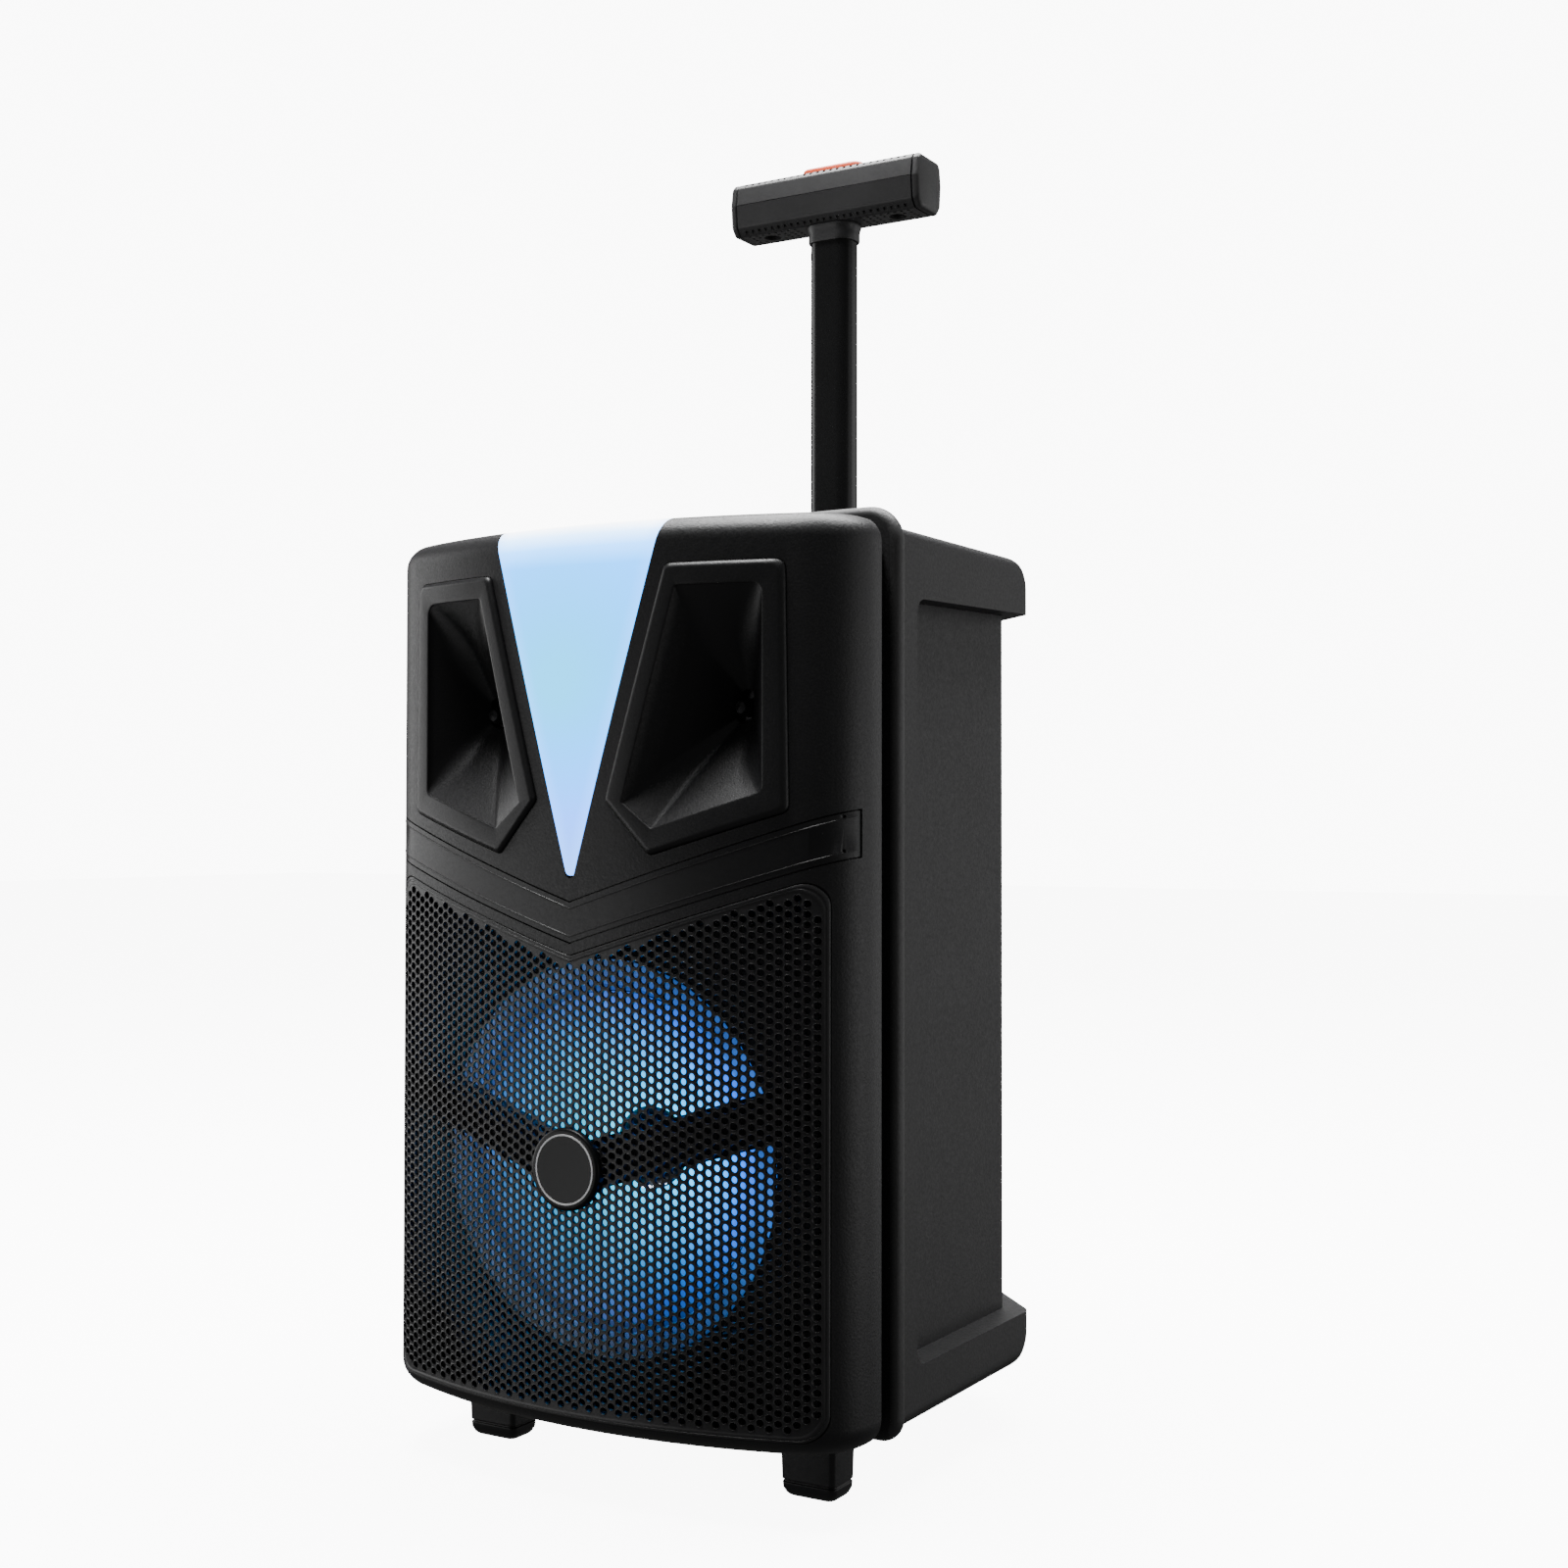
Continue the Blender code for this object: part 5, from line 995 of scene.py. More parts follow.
def make_woofer():
    """Cone, dust cap, surround and light ring; radii and depths are in millimetres."""
    rim_radius, throat_radius, rim_depth, throat_depth, curve = 73, 18, 35, 66, 1.15
    cone = []
    for step in range(17):
        part = step / 16
        fall = math.sin(part * math.pi / 2) ** curve
        cone.append((rim_radius - (rim_radius - throat_radius) * part,
                     rim_depth + (throat_depth - rim_depth) * fall))
    cone += [(radius, depth + 1.2) for radius, depth in reversed(cone)]
    woofer("cone_paper_funnel", cone, CONE, "woofer_cone", "cone")
    dome = [(19 * math.sin(turn / 10), 64.1 - 6 * math.cos(turn / 10)) for turn in range(15)]
    dome += [(radius * 0.94, depth + 1) for radius, depth in reversed(dome)]
    woofer("dust_cap_dome", dome, BADGE, "woofer_cone", "dust_cap", ring=False)
    inner, outer = 73.3, 84.3
    middle, reach = (inner + outer) / 2, (outer - inner) / 2
    roll = arc((middle, 0), reach, 180, 360, 16) + arc((middle, 1.2), reach - 1, 360, 180, 16)
    woofer("surround_roll", [(r, 37.4 + y * 0.8) for r, y in roll], SURROUND, "cabinet", "surround")
    ring = [(76.5, 29.5), (78, 28.3), (80, 27.5), (82, 27.3), (87.2, 27.3), (87.4, 30.8), (76.5, 30.8)]
    woofer("light_ring", ring, RING, "cabinet", "led_ring")


def make_cap_lamps():
    """Small white lamps on the rim of the dust cap, most of them at its foot."""
    lamps = []
    reach, rim_y = 17.5 * MM, 59.5 * MM
    profile = [(0, -0.6), (0.5, -0.45), (0.8, 0), (0.8, 1.2), (0, 1.2)]
    for turn in (165, 262, 272, 282, 292, 302, 318):
        turn = math.radians(turn)
        centre = (reach * math.cos(turn), rim_y, WOOFER_Z + reach * math.sin(turn))
        lamps.append(turned(in_mm(profile), centre, "Y", 16))
    piece("dust_cap_lamps", joined(lamps), LAMP, "woofer_cone")


def make_baffle_ribs():
    """Raised trapezoid frames that stiffen the baffle's lower corners."""
    ribs = []
    behind_front, foremost, rear = 6 * MM, 8 * MM, 26.6 * MM
    frame_corners = in_mm([(36, 44), (103, 44), (98, 84), (66, 77)])
    for side in (1, -1):
        outer = rounded_polygon(mirrored(frame_corners[::side], side), 3 * MM, 5, 6)
        middle_x, middle_z = 74 * side * MM, 60 * MM
        inner = [(middle_x + (x - middle_x) * 0.9, middle_z + (z - middle_z) * 0.82) for x, z in outer]
        front, near = [[(x, max(front_y(x) + behind_front, foremost), z) for x, z in outline]
                       for outline in (outer, inner)]
        ribs.append(loft([upright(outer, rear), front, near, upright(inner, rear)], closed=True))
    piece("baffle_ribs", joined(ribs), INNER, "cabinet")


# ---------------------------------------------------------------- rear cabinet
def cabinet_plan(side, shoulder, back, front, radii):
    """Six-sided plan whose sides, sloping shoulders and back are each moved in by a distance."""
    slope = Vector((CABINET_REAR - CABINET_SHOULDER_Y, CABINET_HALF_WIDTH - CABINET_BACK_HALF))
    normal = slope.normalized()
    side_y = CABINET_SHOULDER_Y - (shoulder - normal.x * side) / normal.y
    back_x = CABINET_BACK_HALF - (shoulder - normal.y * back) / normal.x
    half = CABINET_HALF_WIDTH - side
    rear = CABINET_REAR - back
    corners = [(half, front), (half, side_y), (back_x, rear),
               (-back_x, rear), (-half, side_y), (-half, front)]
    return rounded_polygon(corners, [0, radii[0], radii[1], radii[1], radii[0], 0])


def edge_inset(distance, radius):
    """How far a rounded edge lies in from the face, at a distance from the edge's own plane."""
    if distance >= radius:
        return 0.0
    return radius - math.sqrt(radius * radius - (radius - distance) ** 2)


def cabinet_solid():
    """The bumpers' outer form, rounded most where its sloping shoulders meet top and bottom."""
    steps = [EDGE_ROUND * (1 - math.cos(math.pi / 2 * step / 9)) for step in range(10)]
    levels = [(CABINET_BOTTOM + distance, distance) for distance in steps]
    levels += [(CABINET_TOP - distance, distance) for distance in reversed(steps)]
    rings = []
    for z, distance in levels:
        flat = edge_inset(distance, FLAT_ROUND)
        plan = cabinet_plan(flat, edge_inset(distance, EDGE_ROUND), flat, BEAD_REAR - 4 * MM,
                            (12 * MM, 12 * MM))
        rings.append(level(plan, z))
    return loft(rings)


def front_outline(half, bottom, top, high, low):
    """Outline seen from the front, with one radius for the upper corners and one for the lower."""
    corners = [(half, bottom), (half, top), (-half, top), (-half, bottom)]
    return rounded_polygon(corners, [low, high, high, low], 10)


def bead_solid():
    """The rounded rim that runs round the speaker between the front shell and the bumpers."""
    rings = []
    middle = (BEAD_FRONT + BEAD_REAR) / 2
    reach = (BEAD_REAR - BEAD_FRONT) / 2
    for step in range(-8, 9):
        turn = math.pi / 2 * step / 8
        inset = 4 * MM * (1 - math.cos(turn))
        outline = front_outline(BEAD_HALF_WIDTH - inset, BEAD_BOTTOM + inset, BEAD_TOP - inset,
                                16 * MM - inset, 10 * MM - inset)
        rings.append(upright(outline, middle + reach * math.sin(turn)))
    return loft(rings)


def recess_tool():
    """The band round sides and back between the bumpers, outside the inner core."""
    beyond = CABINET_REAR + PAST_BACK
    top_there = RECESS_TOP + RECESS_RISE * (beyond - RECESS_FRONT)
    outline = rounded_polygon([(RECESS_FRONT, RECESS_BOTTOM), (beyond, RECESS_BOTTOM),
                               (beyond, top_there), (RECESS_FRONT, RECESS_TOP)],
                              [7 * MM, 0, 0, 7 * MM], 8)
    tool = make("band", prism_x(outline, -PAST_SIDES, PAST_SIDES), None)
    core = cabinet_plan(RECESS_DEPTH, RECESS_DEPTH * 0.8, BACK_RECESS, 0, (4 * MM, 5 * MM))
    return form_of(combine(tool, [prism_z(core, 0, CABINET_TOP + PAST_BACK)]))


def rounded_slot(half, y, bottom, top):
    """An upright prism over the middle line, with corners of 6 mm radius."""
    return prism_z(rounded_box_outline(half[0], half[1], 6 * MM, 8, (0, y)), bottom, top)


def make_rear_cabinet():
    """Hollow cabinet with its bead and spigot, wheel arches, and openings for panel, pole and plate."""
    cabinet = make("rear_cabinet_moulding", cabinet_solid(), CABINET)
    combine(cabinet, [recess_tool()])
    spigot = front_outline(SHELL_HALF_WIDTH - SPIGOT_INSET, SHELL_BOTTOM + SPIGOT_INSET,
                           SHELL_TOP - SPIGOT_INSET, 10 * MM, 5 * MM)
    combine(cabinet, [bead_solid(), prism_y(spigot, SPIGOT_FRONT, BEAD_FRONT + 4 * MM)], "UNION")
    wall = CABINET_WALL
    side = RECESS_DEPTH + wall
    inside_plan = cabinet_plan(side, side * 0.8, BACK_RECESS + wall, BEAD_REAR, (3 * MM, 3 * MM))
    mouth = front_outline(SHELL_HALF_WIDTH - SPIGOT_INSET - 2.5 * MM, SHELL_BOTTOM + 8 * MM,
                          SHELL_TOP - 8 * MM, 8 * MM, 4 * MM)
    low_half = CABINET_HALF_WIDTH - side
    cutters = [prism_y(mouth, SPIGOT_FRONT - 5 * MM, BEAD_REAR + 4 * MM),
               prism_z(inside_plan, BLOCK_TOP, CABINET_TOP - wall),
               box((-low_half, low_half), (BEAD_REAR, ARCH_FRONT - wall),
                   (CABINET_BOTTOM + wall, BLOCK_TOP + 2 * MM))]
    for side in (1, -1):
        x = sorted((ARCH_X[0] * side, ARCH_X[1] * side))
        cutters.append(box(x, (ARCH_FRONT, CABINET_REAR + PAST_BACK), (0, ARCH_TOP)))
    cutters.append(box(*AXLE_NOTCH, (0, ARCH_TOP)))
    cutters.append(cylinder(AXLE_RADIUS + 2 * GAP, -ARCH_X[1], ARCH_X[1],
                            (0, WHEEL_Y, WHEEL_RADIUS), "X"))
    middle = (PANEL_Y[0] + PANEL_Y[1]) / 2
    half = (PANEL_Y[1] - PANEL_Y[0]) / 2 - 6 * MM
    cutters.append(rounded_slot((PANEL_HALF_WIDTH - 7 * MM, half), middle, *LID_CUT))
    cutters.append(rounded_slot(TUBE_HOLE, POLE_Y, *LID_CUT))
    cutters.append(box((PLATE_X[0] - GAP, PLATE_X[1] + GAP), BACK_CUT,
                       (PLATE_Z[0] - GAP, PLATE_Z[1] + GAP)))
    combine(cabinet, cutters)
    # the bead's faces get the lighter copy of the cabinet plastic, painted light that lifts them out of shade
    cabinet.data.materials.append(BEAD_PAINTED_LIGHT)
    for face in cabinet.data.polygons:
        x, y, z = face.center
        outside = abs(x) > SHELL_HALF_WIDTH - SPIGOT_INSET / 2 or not SHELL_BOTTOM < z < SHELL_TOP
        if outside and BEAD_FRONT - GAP < y < BEAD_REAR:
            face.material_index = 1
    settle(soften(cabinet, 1.0 * MM, 3), "cabinet", ["rear_cabinet"])


def screw_head(place, radius, turn):
    """Pan head with a cross recess, facing backwards."""
    x, y, z = place
    head = make("head", turned([(0, -0.5 * MM), (radius, -0.5 * MM), (radius, 0.2 * MM),
                                (radius * 0.8, 0.75 * MM), (0, 0.95 * MM)], (x, y, z), "Y", 32), SCREW)
    for quarter in (0, 1):
        slot = box((-radius * 0.62, radius * 0.62), (y + 0.35 * MM, y + 2 * MM),
                   (-radius * 0.14, radius * 0.14))
        bmesh.ops.rotate(slot, verts=slot.verts, cent=(0, 0, 0),
                         matrix=Matrix.Rotation(turn + quarter * math.pi / 2, 3, "Y"))
        bmesh.ops.translate(slot, verts=slot.verts, vec=(x, 0, z))
        combine(head, [slot])
    return form_of(head)


def make_back_screws():
    """Screws of the back and of its power plate, each stopped at its own turn."""
    shuffle = random.Random(7)
    face = CABINET_REAR - BACK_RECESS
    heads = []
    for x in BACK_SCREW_X:
        for z in BACK_SCREW_Z:
            heads.append(screw_head((x, face, z), 3.4 * MM, shuffle.uniform(0, 1.5)))
    for z in (PLATE_Z[0] + 4 * MM, PLATE_Z[1] - 4 * MM):
        heads.append(screw_head((PLATE_X[0] + 5 * MM, PLATE_FACE, z), 1.9 * MM, shuffle.uniform(0, 1.5)))
    piece("back_screws", joined(heads), SCREW, "cabinet")


# ---------------------------------------------------------------- controls
def make_knob(name, x, radius):
    """Ribbed cap with a printed pointer, on its shaft."""
    centre = (x * MM, KNOB_Y, 0)
    radius *= MM
    base, top, shaft_bottom = PANEL_TOP + 0.5 * MM, PANEL_TOP + 10 * MM, 398.2 * MM
    ribs, groove = 36, 0.35 * MM
    rings = []
    profile = [(1.0, base), (1.0, top - 2.2 * MM), (0.97, top - 1.1 * MM), (0.9, top - 0.3 * MM),
               (0.84, top)]
    for share, z in profile:
        ring = []
        for step in range(ribs * 4):
            turn = math.tau * step / (ribs * 4)
            cut = groove if step % 4 in (0, 1) and share > 0.95 else 0
            reach = radius * share - cut
            ring.append((centre[0] + reach * math.cos(turn), centre[1] + reach * math.sin(turn), z))
        rings.append(ring)
    knob = make(name + "_cap", loft(rings), KNOB)
    shaft = cylinder(3 * MM, shaft_bottom, base + 1 * MM, centre, "Z")
    combine(knob, [shaft], "UNION")
    settle(soften(knob, 0.12 * MM, 1), name, [name])
    mark = box((centre[0] - 0.5 * MM, centre[0] + 0.5 * MM),
               (centre[1] - radius * 0.8, centre[1] - radius * 0.35), (top - 0.1 * MM, top + 0.12 * MM))
    piece(name + "_pointer", mark, PRINT, name, (), 0.05 * MM, 1)


def make_button_sign(name, x):
    """Raised sign on a key: bars and arrow heads drawn from triangles and strips."""
    top = PANEL_TOP + 1.8 * MM
    low, high = top - 0.2 * MM, top + 0.15 * MM
    size, half_bar = 2.2 * MM, 0.35 * MM

    def arrow(shift, way):
        tail = x * MM + shift - way * size * 0.6
        tip = x * MM + shift + way * size
        return prism_z([(tail, BUTTON_Y - size), (tip, BUTTON_Y), (tail, BUTTON_Y + size)], low, high)

    def bar(shift):
        middle = x * MM + shift
        return box((middle - half_bar, middle + half_bar), (BUTTON_Y - size, BUTTON_Y + size), (low, high))

    signs = {"mode_button": lambda: [bar(-1.5 * MM), bar(0), bar(1.5 * MM)],
             "previous_button": lambda: [arrow(0.8 * MM, -1), bar(-2.6 * MM)],
             "play_button": lambda: [arrow(-1.6 * MM, 1), bar(1.6 * MM), bar(3.2 * MM)],
             "next_button": lambda: [arrow(-0.8 * MM, 1), bar(2.6 * MM)]}
    piece(name + "_sign", joined(signs[name]()), PRINT, name, (), 0.05 * MM, 1)


# ---------------------------------------------------------------- pole and grip
def oval(grow):
    """The pole's section, with its sides moved out by a distance."""
    return rounded_box_outline(POLE_HALF[0] + grow, POLE_HALF[1] + grow, POLE_ROUND + grow, 12,
                               (0, POLE_Y))


def make_pole():
    """Tube with a closed top, a hole there for the push rod and one at its foot for the lock pin."""
    wall, rod_hole, pin_hole = 1.5 * MM, 2.6 * MM, 3.3 * MM
    pole = make("pole_tube", prism_z(oval(0), POLE_BOTTOM, POLE_TOP), POLE)
    cutters = [prism_z(oval(-wall), POLE_BOTTOM - 5 * MM, POLE_TOP - 3 * MM),
               cylinder(rod_hole, POLE_TOP - 10 * MM, POLE_TOP + 5 * MM, (0, POLE_Y, 0), "Z"),
               cylinder(pin_hole, 8 * MM, 20 * MM, (0, POLE_Y, POLE_BOTTOM + 12 * MM), "X")]
    combine(pole, cutters)
    settle(soften(pole, 0.3 * MM), "handle", ["pole"])


def make_collar():
    """Flared socket under the grip, with a small clip at its left."""
    top = GRIP_BOTTOM - GAP
    profile = [(1.0, COLLAR_BOTTOM), (1.3, COLLAR_BOTTOM + 0.6 * MM), (1.3, top - 4.5 * MM),
               (1.5, top - 3 * MM), (1.9, top - 1.6 * MM), (2.2, top - 0.7 * MM), (2.2, top)]
    rings = [level(oval(grow * MM), z) for grow, z in profile]
    rings += [level(oval(GAP), z) for z in (top, COLLAR_BOTTOM)]
    piece("collar_socket", loft(rings, closed=True), GRIP, "handle", ["collar"])
    left = -POLE_HALF[0] - 1.1 * MM
    outline = rounded_box_outline(2.2 * MM, 3 * MM, 2 * MM, 6, (POLE_Y, COLLAR_BOTTOM - 5.3 * MM))
    piece("pole_catch", prism_x(outline, left, left + 1.9 * MM), GRIP, "handle", (), 0.5 * MM, 3)


def grip_section(shrink=0.0):
    """Side view of the whole grip: widest at the parting line, its lower edges cut off at a slant."""
    half = [(9.4 * MM, GRIP_BOTTOM), (12.9 * MM, GRIP_BOTTOM + 4.4 * MM), (GRIP_HALF_DEPTH, GRIP_SPLIT),
            (12.7 * MM, GRIP_TOP - 2.6 * MM), (10.4 * MM, GRIP_TOP)]
    right = [(POLE_Y + y, z) for y, z in half]
    left = [(2 * POLE_Y - y, z) for y, z in reversed(right)]
    radii = [radius * MM for radius in (2, 3, 0.8, 2, 1.6, 1.6, 2, 0.8, 3, 2)]
    return rounded_polygon(offset_polygon(right + left, -shrink), radii, 5)


def dimples(upper):
    """Rows of small square pits under the grip and along its upper edges."""
    pits = []
    pitch, half, beyond, outermost = 4 * MM, 0.8 * MM, 3 * MM, 3
    spacing, depth, edge_depth, clear_x = (3.7, 0.5, 1.5, 20.5) if upper else (3.6, 0.6, 2.4, 16.5)
    count = int((GRIP_HALF_LENGTH - 3 * MM) / pitch)
    for step in range(-count, count + 1):
        x = step * pitch
        for row in range(-outermost, outermost + 1):
            y = row * spacing * MM
            if abs(row) < outermost and abs(x) < clear_x * MM:
                continue
            if not upper and math.hypot(abs(x) - GRIP_SCREW_X, y) < 6.3 * MM:
                continue
            cut = (depth if abs(row) < outermost else edge_depth) * MM
            ends = (GRIP_TOP - cut, GRIP_TOP + beyond) if upper else (GRIP_BOTTOM - beyond, GRIP_BOTTOM + cut)
            pits.append(box((x - half, x + half), (POLE_Y + y - half, POLE_Y + y + half), ends))
    return joined(pits)


def make_grip_half(name, upper):
    """One half of the grip: a hollow tray with two screw bosses."""
    length = GRIP_HALF_LENGTH
    half = make(name + "_moulding", prism_x(grip_section(), -length, length), GRIP)
    wall, boss, bore, counterbore = 3 * MM, 5.6 * MM, 1.9 * MM, 4.6 * MM
    below = GRIP_BOTTOM - 5 * MM
    across, along = (-2 * length, 2 * length), (POLE_Y - length, POLE_Y + length)
    if upper:
        away = box(across, along, (GRIP_BOTTOM - length, GRIP_SPLIT + GAP / 2))
        hollow_z = (GRIP_SPLIT - 5 * MM, GRIP_TOP - wall)
        boss_z = (GRIP_SPLIT + GAP / 2, GRIP_TOP - wall + 1 * MM)
    else:
        away = box(across, along, (GRIP_SPLIT - GAP / 2, GRIP_TOP + length))
        hollow_z = (GRIP_BOTTOM + wall, GRIP_SPLIT + 5 * MM)
        boss_z = (GRIP_BOTTOM + wall - 1 * MM, GRIP_SPLIT - GAP / 2)
    depth = GRIP_HALF_DEPTH - wall
    hollow = box((wall - length, length - wall), (POLE_Y - depth, POLE_Y + depth), hollow_z)
    combine(half, [away, hollow, dimples(upper)])
    for side in (1, -1):
        centre = (GRIP_SCREW_X * side, POLE_Y, 0)
        combine(half, [cylinder(boss, boss_z[0], boss_z[1], centre, "Z")], "UNION")
        combine(half, [cylinder(bore, below, GRIP_TOP - 5 * MM, centre, "Z", 24)])
        if not upper:
            combine(half, [cylinder(counterbore, below, GRIP_BOTTOM + 5 * MM, centre, "Z")])
    if upper:
        opening = (18.4 * MM, 6.4 * MM)
        combine(half, [rounded_slot(opening, POLE_Y, GRIP_SPLIT - 4 * MM, GRIP_TOP + 14 * MM)])
    else:
        combine(half, [prism_z(oval(GAP), GRIP_BOTTOM - 18 * MM, GRIP_BOTTOM + 10 * MM)])
    settle(soften(half, 0.3 * MM), "handle", [name])


def make_end_cap(name, side):
    """Cap on an end of the grip: a groove where they meet, and a rounded outer edge."""
    start = GRIP_HALF_LENGTH + GAP
    rings = []
    for part, shrink in ((0, 1.0), (0.1, 0.35), (0.2, 0), (0.6, 0), (0.8, 0.35), (0.93, 0.9), (1, 1.7)):
        x = (start + END_CAP_LENGTH * part) * side
        rings.append([(x, y, z) for y, z in grip_section(shrink * MM)])
    piece(name + "_moulding", loft(rings), GRIP, "handle", [name])


def make_release_button():
    """Domed push button in the grip, with a stem for the spring and the push rod."""
    rings = []
    top = RELEASE_PROUD / MM
    for z, shrink in ((-5, 0), (top - 1.8, 0), (top - 0.8, 0.35), (top - 0.2, 1.0), (top, 1.8)):
        outline = rounded_box_outline((18 - shrink) * MM, (6 - shrink) * MM, (5.6 - shrink) * MM, 10,
                                      (0, POLE_Y))
        rings.append(level(outline, GRIP_TOP + z * MM))
    button = make("release_button_cap", loft(rings), ORANGE)
    stem = cylinder(5.5 * MM, POLE_TOP + 10 * MM, GRIP_TOP - 4 * MM, (0, POLE_Y, 0), "Z")
    combine(button, [stem], "UNION")
    settle(soften(button, 0), "release", ["release_button"])


def make_release_spring():
    """The spring under the button, as in the CAD, with a mesh of its own."""
    spring = refine("button_spring", "handle", BRIGHT, 0)
    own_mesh(spring)


# ---------------------------------------------------------------- running gear
def make_foot(name, side):
    """Block with a rounded foot plate and a shallow groove round it."""
    x, y = 86 * side * MM, 65 * MM
    rings = []
    for z, shrink in ((0, 3.5), (0.5, 2.6), (1.4, 1.8), (3.5, 0.8), (6, 0.6), (6.3, 1.2), (7, 1.2),
                      (7.3, 0.5), (26.7, 0)):
        outline = rounded_box_outline((14 - shrink) * MM, (10 - shrink) * MM, 3 * MM, 8, (x, y))
        rings.append(level(outline, z * MM))
    piece(name + "_moulding", loft(rings), FOOT, "cabinet", [name], 0.25 * MM)


def make_wheel(side_name, side):
    """Spoked hub with a grooved rubber tyre."""
    body = side_name + "_wheel"
    centre = (0, WHEEL_Y, WHEEL_RADIUS)
    inner, outer = WHEEL_INNER_X / MM, WHEEL_OUTER_X / MM
    hub = [(4.3, inner), (19.5, inner + 1.6), (20, inner + 2), (20, outer - 2.3), (19.7, outer - 2),
           (17, outer - 2), (16, outer - 5), (9, outer - 5), (8.4, outer - 0.4), (8, outer), (4.3, outer)]
    item = make("wheel_hub_" + side_name + "_moulding",
                turned([(r * MM, x * side * MM) for r, x in hub], centre, "X", 72, ring=True), HUB)
    windows = []
    count, window, reach = 6, 2.6 * MM, 12.5 * MM
    ends = sorted(((outer - 9) * side * MM, (outer + 2) * side * MM))
    for index in range(count):
        turn = math.tau * index / count
        place = (0, WHEEL_Y + reach * math.cos(turn), WHEEL_RADIUS + reach * math.sin(turn))
        windows.append(cylinder(window, ends[0], ends[1], place, "X", 24))
    combine(item, [joined(windows)])
    settle(soften(item, 0.2 * MM), body, ["wheel_hub_" + side_name])
    tyre = [(20.3, inner + 2), (25.5, inner + 1), (27.2, inner + 2.2), (28, inner + 4)]
    for step in range(3):
        groove = inner + 6.2 + step * 3
        tyre += [(28, groove - 0.5), (27.2, groove - 0.3), (27.2, groove + 0.3), (28, groove + 0.5)]
    tyre += [(28, outer - 4), (27.2, outer - 2.2), (25.5, outer - 1), (20.3, outer - 2)]
    form = turned([(r * MM, x * side * MM) for r, x in tyre], centre, "X", 96, ring=True)
    piece("wheel_tyre_" + side_name + "_moulding", form, TYRE, body, ["wheel_tyre_" + side_name])


# ---------------------------------------------------------------- carried-over CAD nodes
REFINED = {"control_panel": PANEL, "display_window": GLASS, "usb_socket": SOCKET,
           "microphone_socket": SOCKET, "aux_socket": SOCKET, "power_plate": PANEL,
           "dc_socket": GLASS, "tube_bezel": PANEL, "woofer_baffle": INNER, "axle_housing": INNER}
CARRIED = {"light_board": CIRCUIT, "left_tweeter": PRESSED, "right_tweeter": PRESSED,
           "basket": PRESSED, "magnet": FERRITE, "spider": SPIDER, "voice_coil": COPPER,
           "seam_gasket": FOAM, "battery": WRAP, "amplifier_board": CIRCUIT, "outer_tube": POLE,
           "grip_screw_left": SCREW, "grip_screw_right": SCREW, "push_rod": BRIGHT,
           "lock_pin": BRIGHT, "axle": BRIGHT}


def dress_cad():
    """Own copies of small nodes with rounded edges, and looks for the nodes that stay as they are."""
    for node, look in REFINED.items():
        refine(node, "cabinet", look, 0.35 * MM)
    for node in BUTTONS:
        refine(node, node, KEY, 0.5 * MM, 3)
    refine("power_rocker", "power_rocker", KNOB, 0.4 * MM)
    for node, look in CARRIED.items():
        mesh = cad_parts[node].data
        mesh.materials.clear()
        mesh.materials.append(look)


# ---------------------------------------------------------------- stage, light and camera
def area_light(name, place, target, size, power):
    light = bpy.data.lights.new(name, "AREA")
    light.shape = "RECTANGLE"
    light.size, light.size_y = size
    light.energy = power
    item = bpy.data.objects.new(name, light)
    bpy.context.scene.collection.objects.link(item)
    item.location = place
    item.rotation_euler = (Vector(target) - Vector(place)).to_track_quat("-Z", "Y").to_euler()
    item.visible_camera = False


def make_stage():
    """White paper floor and surroundings, which light and mirror in the speaker only a little."""
    paper_light, room_light, backdrop_light = 9.0, 0.09, 10.0
    reach, thickness = 8, 0.02
    nodes = Nodes("studio_paper")
    tone = nodes.noise(3.0)
    nodes.link(nodes.ramp(tone, [(0.3, (0.86, 0.86, 0.86)), (0.7, (0.9, 0.9, 0.9))]), "Base Color")
    nodes.fixed({"Roughness": 0.85, "Emission Color": (1, 1, 1, 1), "Emission Strength": paper_light})
    floor = make("floor", box((-reach, reach), (-reach, reach), (-thickness, 0)), nodes.material)
    floor.visible_diffuse = False
    floor.visible_glossy = False
    world = bpy.data.worlds.new("studio")
    world.use_nodes = True
    tree = world.node_tree
    seen = tree.nodes.new("ShaderNodeLightPath").outputs["Is Camera Ray"]
    spread = tree.nodes.new("ShaderNodeMapRange")
    tree.links.new(seen, spread.inputs["Value"])
    spread.inputs["To Min"].default_value = room_light
    spread.inputs["To Max"].default_value = backdrop_light
    tree.links.new(spread.outputs["Result"], tree.nodes["Background"].inputs["Strength"])
    tree.nodes["Background"].inputs["Color"].default_value = (1, 1, 1, 1)
    bpy.context.scene.world = world


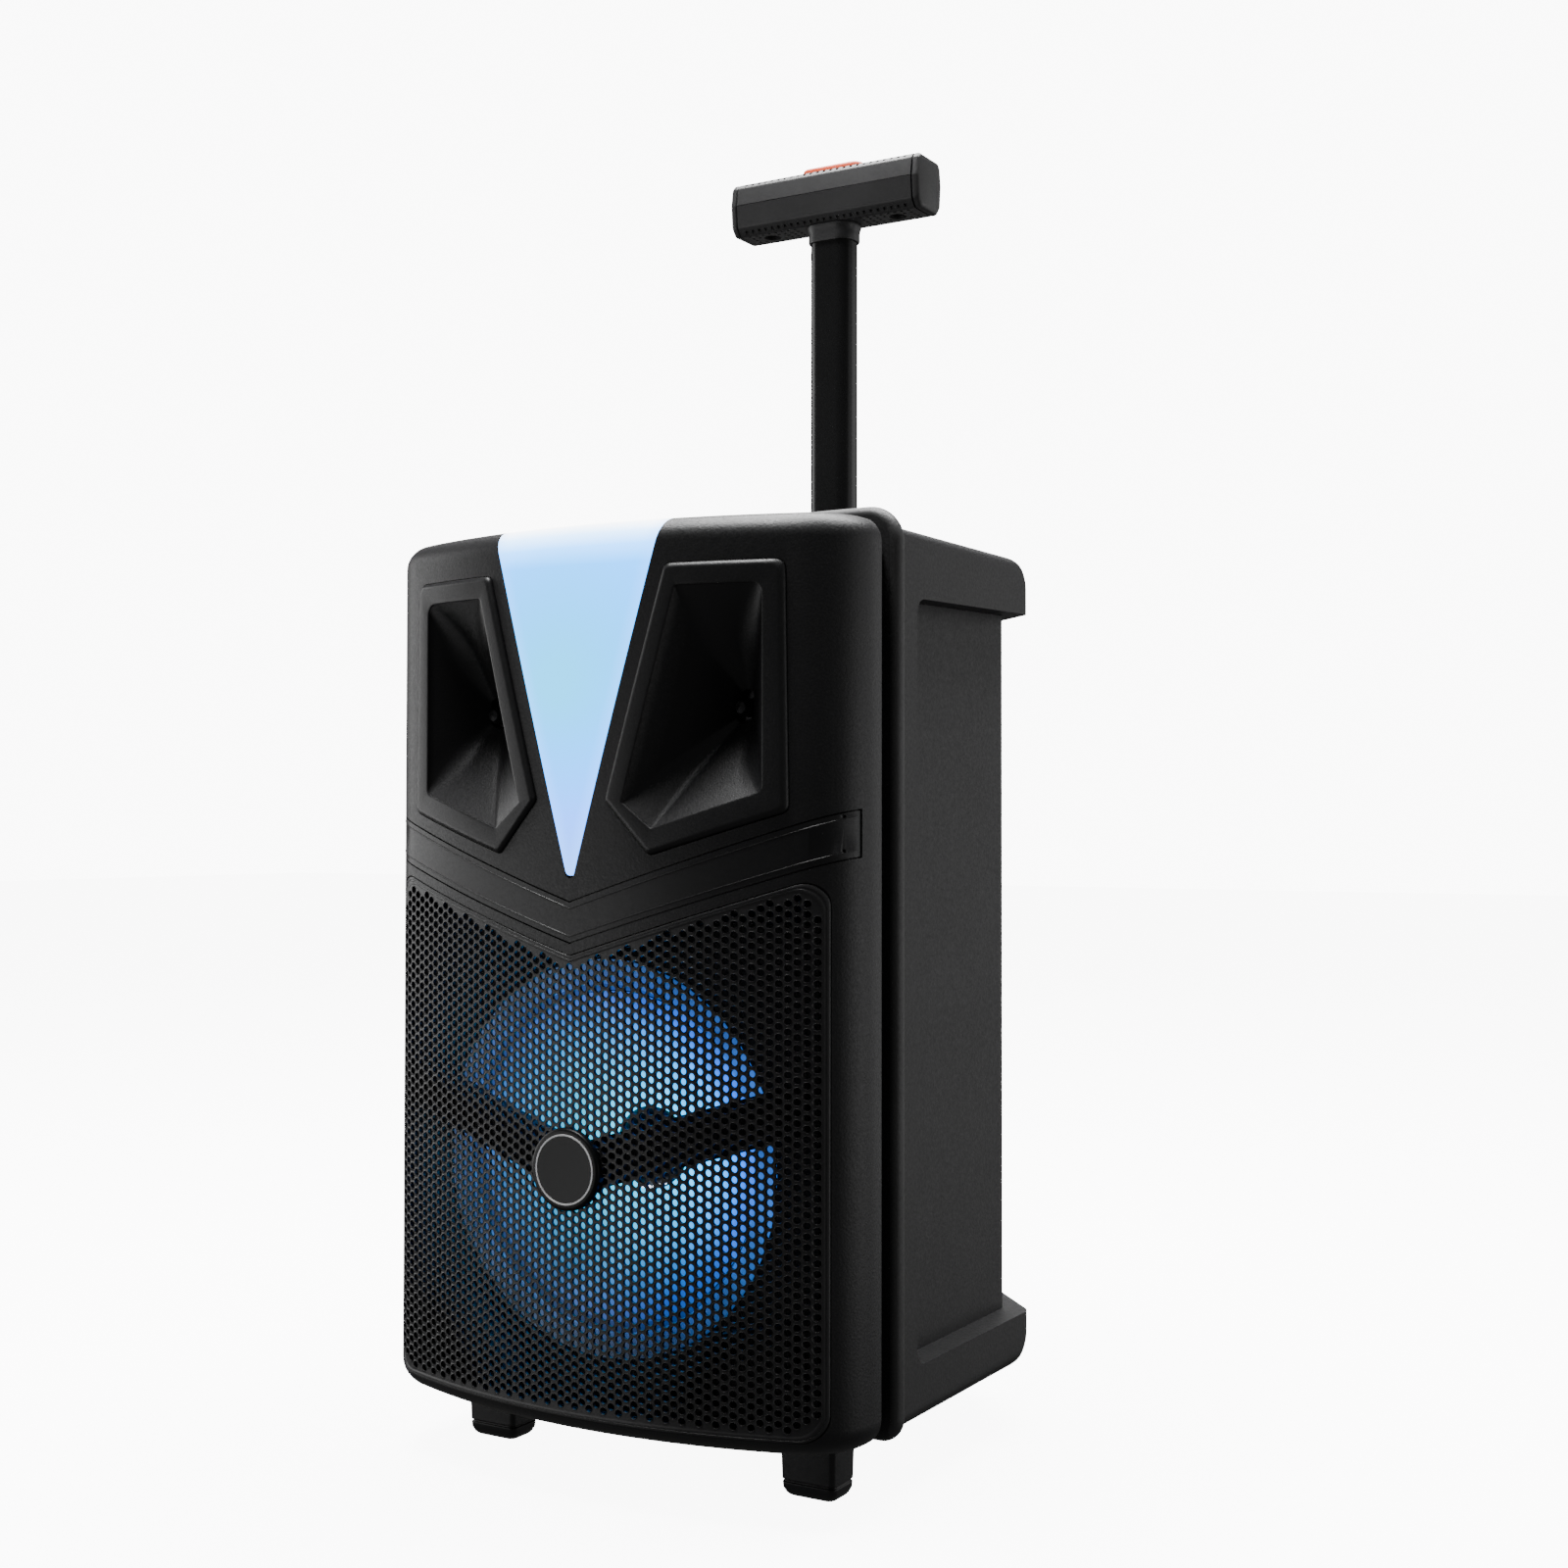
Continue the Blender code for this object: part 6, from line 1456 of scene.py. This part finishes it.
def make_lights():
    """Name, place, width and height, and power in watts of each softbox; all face the speaker."""
    softboxes = [("side_back", (1.2, 1.8, 0.35), (1.2, 1.6), 5.2),
                 ("side", (1.9, 0.7, 0.5), (1.0, 1.4), 2.1),
                 ("low_right", (1.4, 0.3, 0.05), (0.8, 0.8), 2.2),
                 ("back", (-1.2, 2.1, 0.9), (2.0, 1.4), 4.5),
                 ("top", (0, 0.4, 1.8), (1.4, 1.0), 74),
                 ("front_top", (-0.25, -0.38, 1.9), (0.6, 0.45), 30),
                 ("left", (-1.6, -0.2, 0.5), (0.7, 1.3), 8.5),
                 ("low_left", (-0.9, -1.0, 0.05), (1.2, 0.6), 3.6)]
    for name, place, size, power in softboxes:
        area_light(name + "_softbox", place, (0, 0, 0.3), size, power)


def make_camera():
    """Camera about 0.9 m away, turned to the speaker's right front, near the height of the light wedge."""
    yaw, pitch, roll = math.radians(30.56), math.radians(1.147), math.radians(0.08)
    place = Vector((0.5201, -0.6997, 0.2901)) + SHIFT
    ahead = Vector((-math.sin(yaw) * math.cos(pitch), math.cos(yaw) * math.cos(pitch), math.sin(pitch)))
    right = ahead.cross(Vector((0, 0, 1))).normalized()
    up = right.cross(ahead)
    turned_right = right * math.cos(roll) + up * math.sin(roll)
    turned_up = up * math.cos(roll) - right * math.sin(roll)
    camera = bpy.data.objects.new("camera", bpy.data.cameras.new("camera"))
    camera.data.lens = 46.28
    camera.data.sensor_width = 36
    camera.data.clip_start = 0.01
    camera.matrix_world = Matrix((
        (turned_right.x, turned_up.x, -ahead.x, place.x),
        (turned_right.y, turned_up.y, -ahead.y, place.y),
        (turned_right.z, turned_up.z, -ahead.z, place.z),
        (0, 0, 0, 1)))
    bpy.context.scene.collection.objects.link(camera)
    bpy.context.scene.camera = camera


# ---------------------------------------------------------------- the whole picture
make_camera()
make_front_shell()
make_trim()
make_lens()
make_grille()
make_grille_border()
make_badge()
make_woofer()
make_cap_lamps()
make_baffle_ribs()
make_rear_cabinet()
make_back_screws()
for knob_name, (knob_x, knob_radius) in KNOBS.items():
    make_knob(knob_name, knob_x, knob_radius)
for button_name, button_x in BUTTONS.items():
    make_button_sign(button_name, button_x)
make_pole()
make_collar()
make_grip_half("grip_lower", False)
make_grip_half("grip_upper", True)
make_release_button()
make_release_spring()
for word, direction in (("left", -1), ("right", 1)):
    make_horn(word + "_horn", direction)
    make_end_cap("end_cap_" + word, direction)
    make_foot(word + "_foot", direction)
    make_wheel(word, direction)
dress_cad()
make_stage()
make_lights()
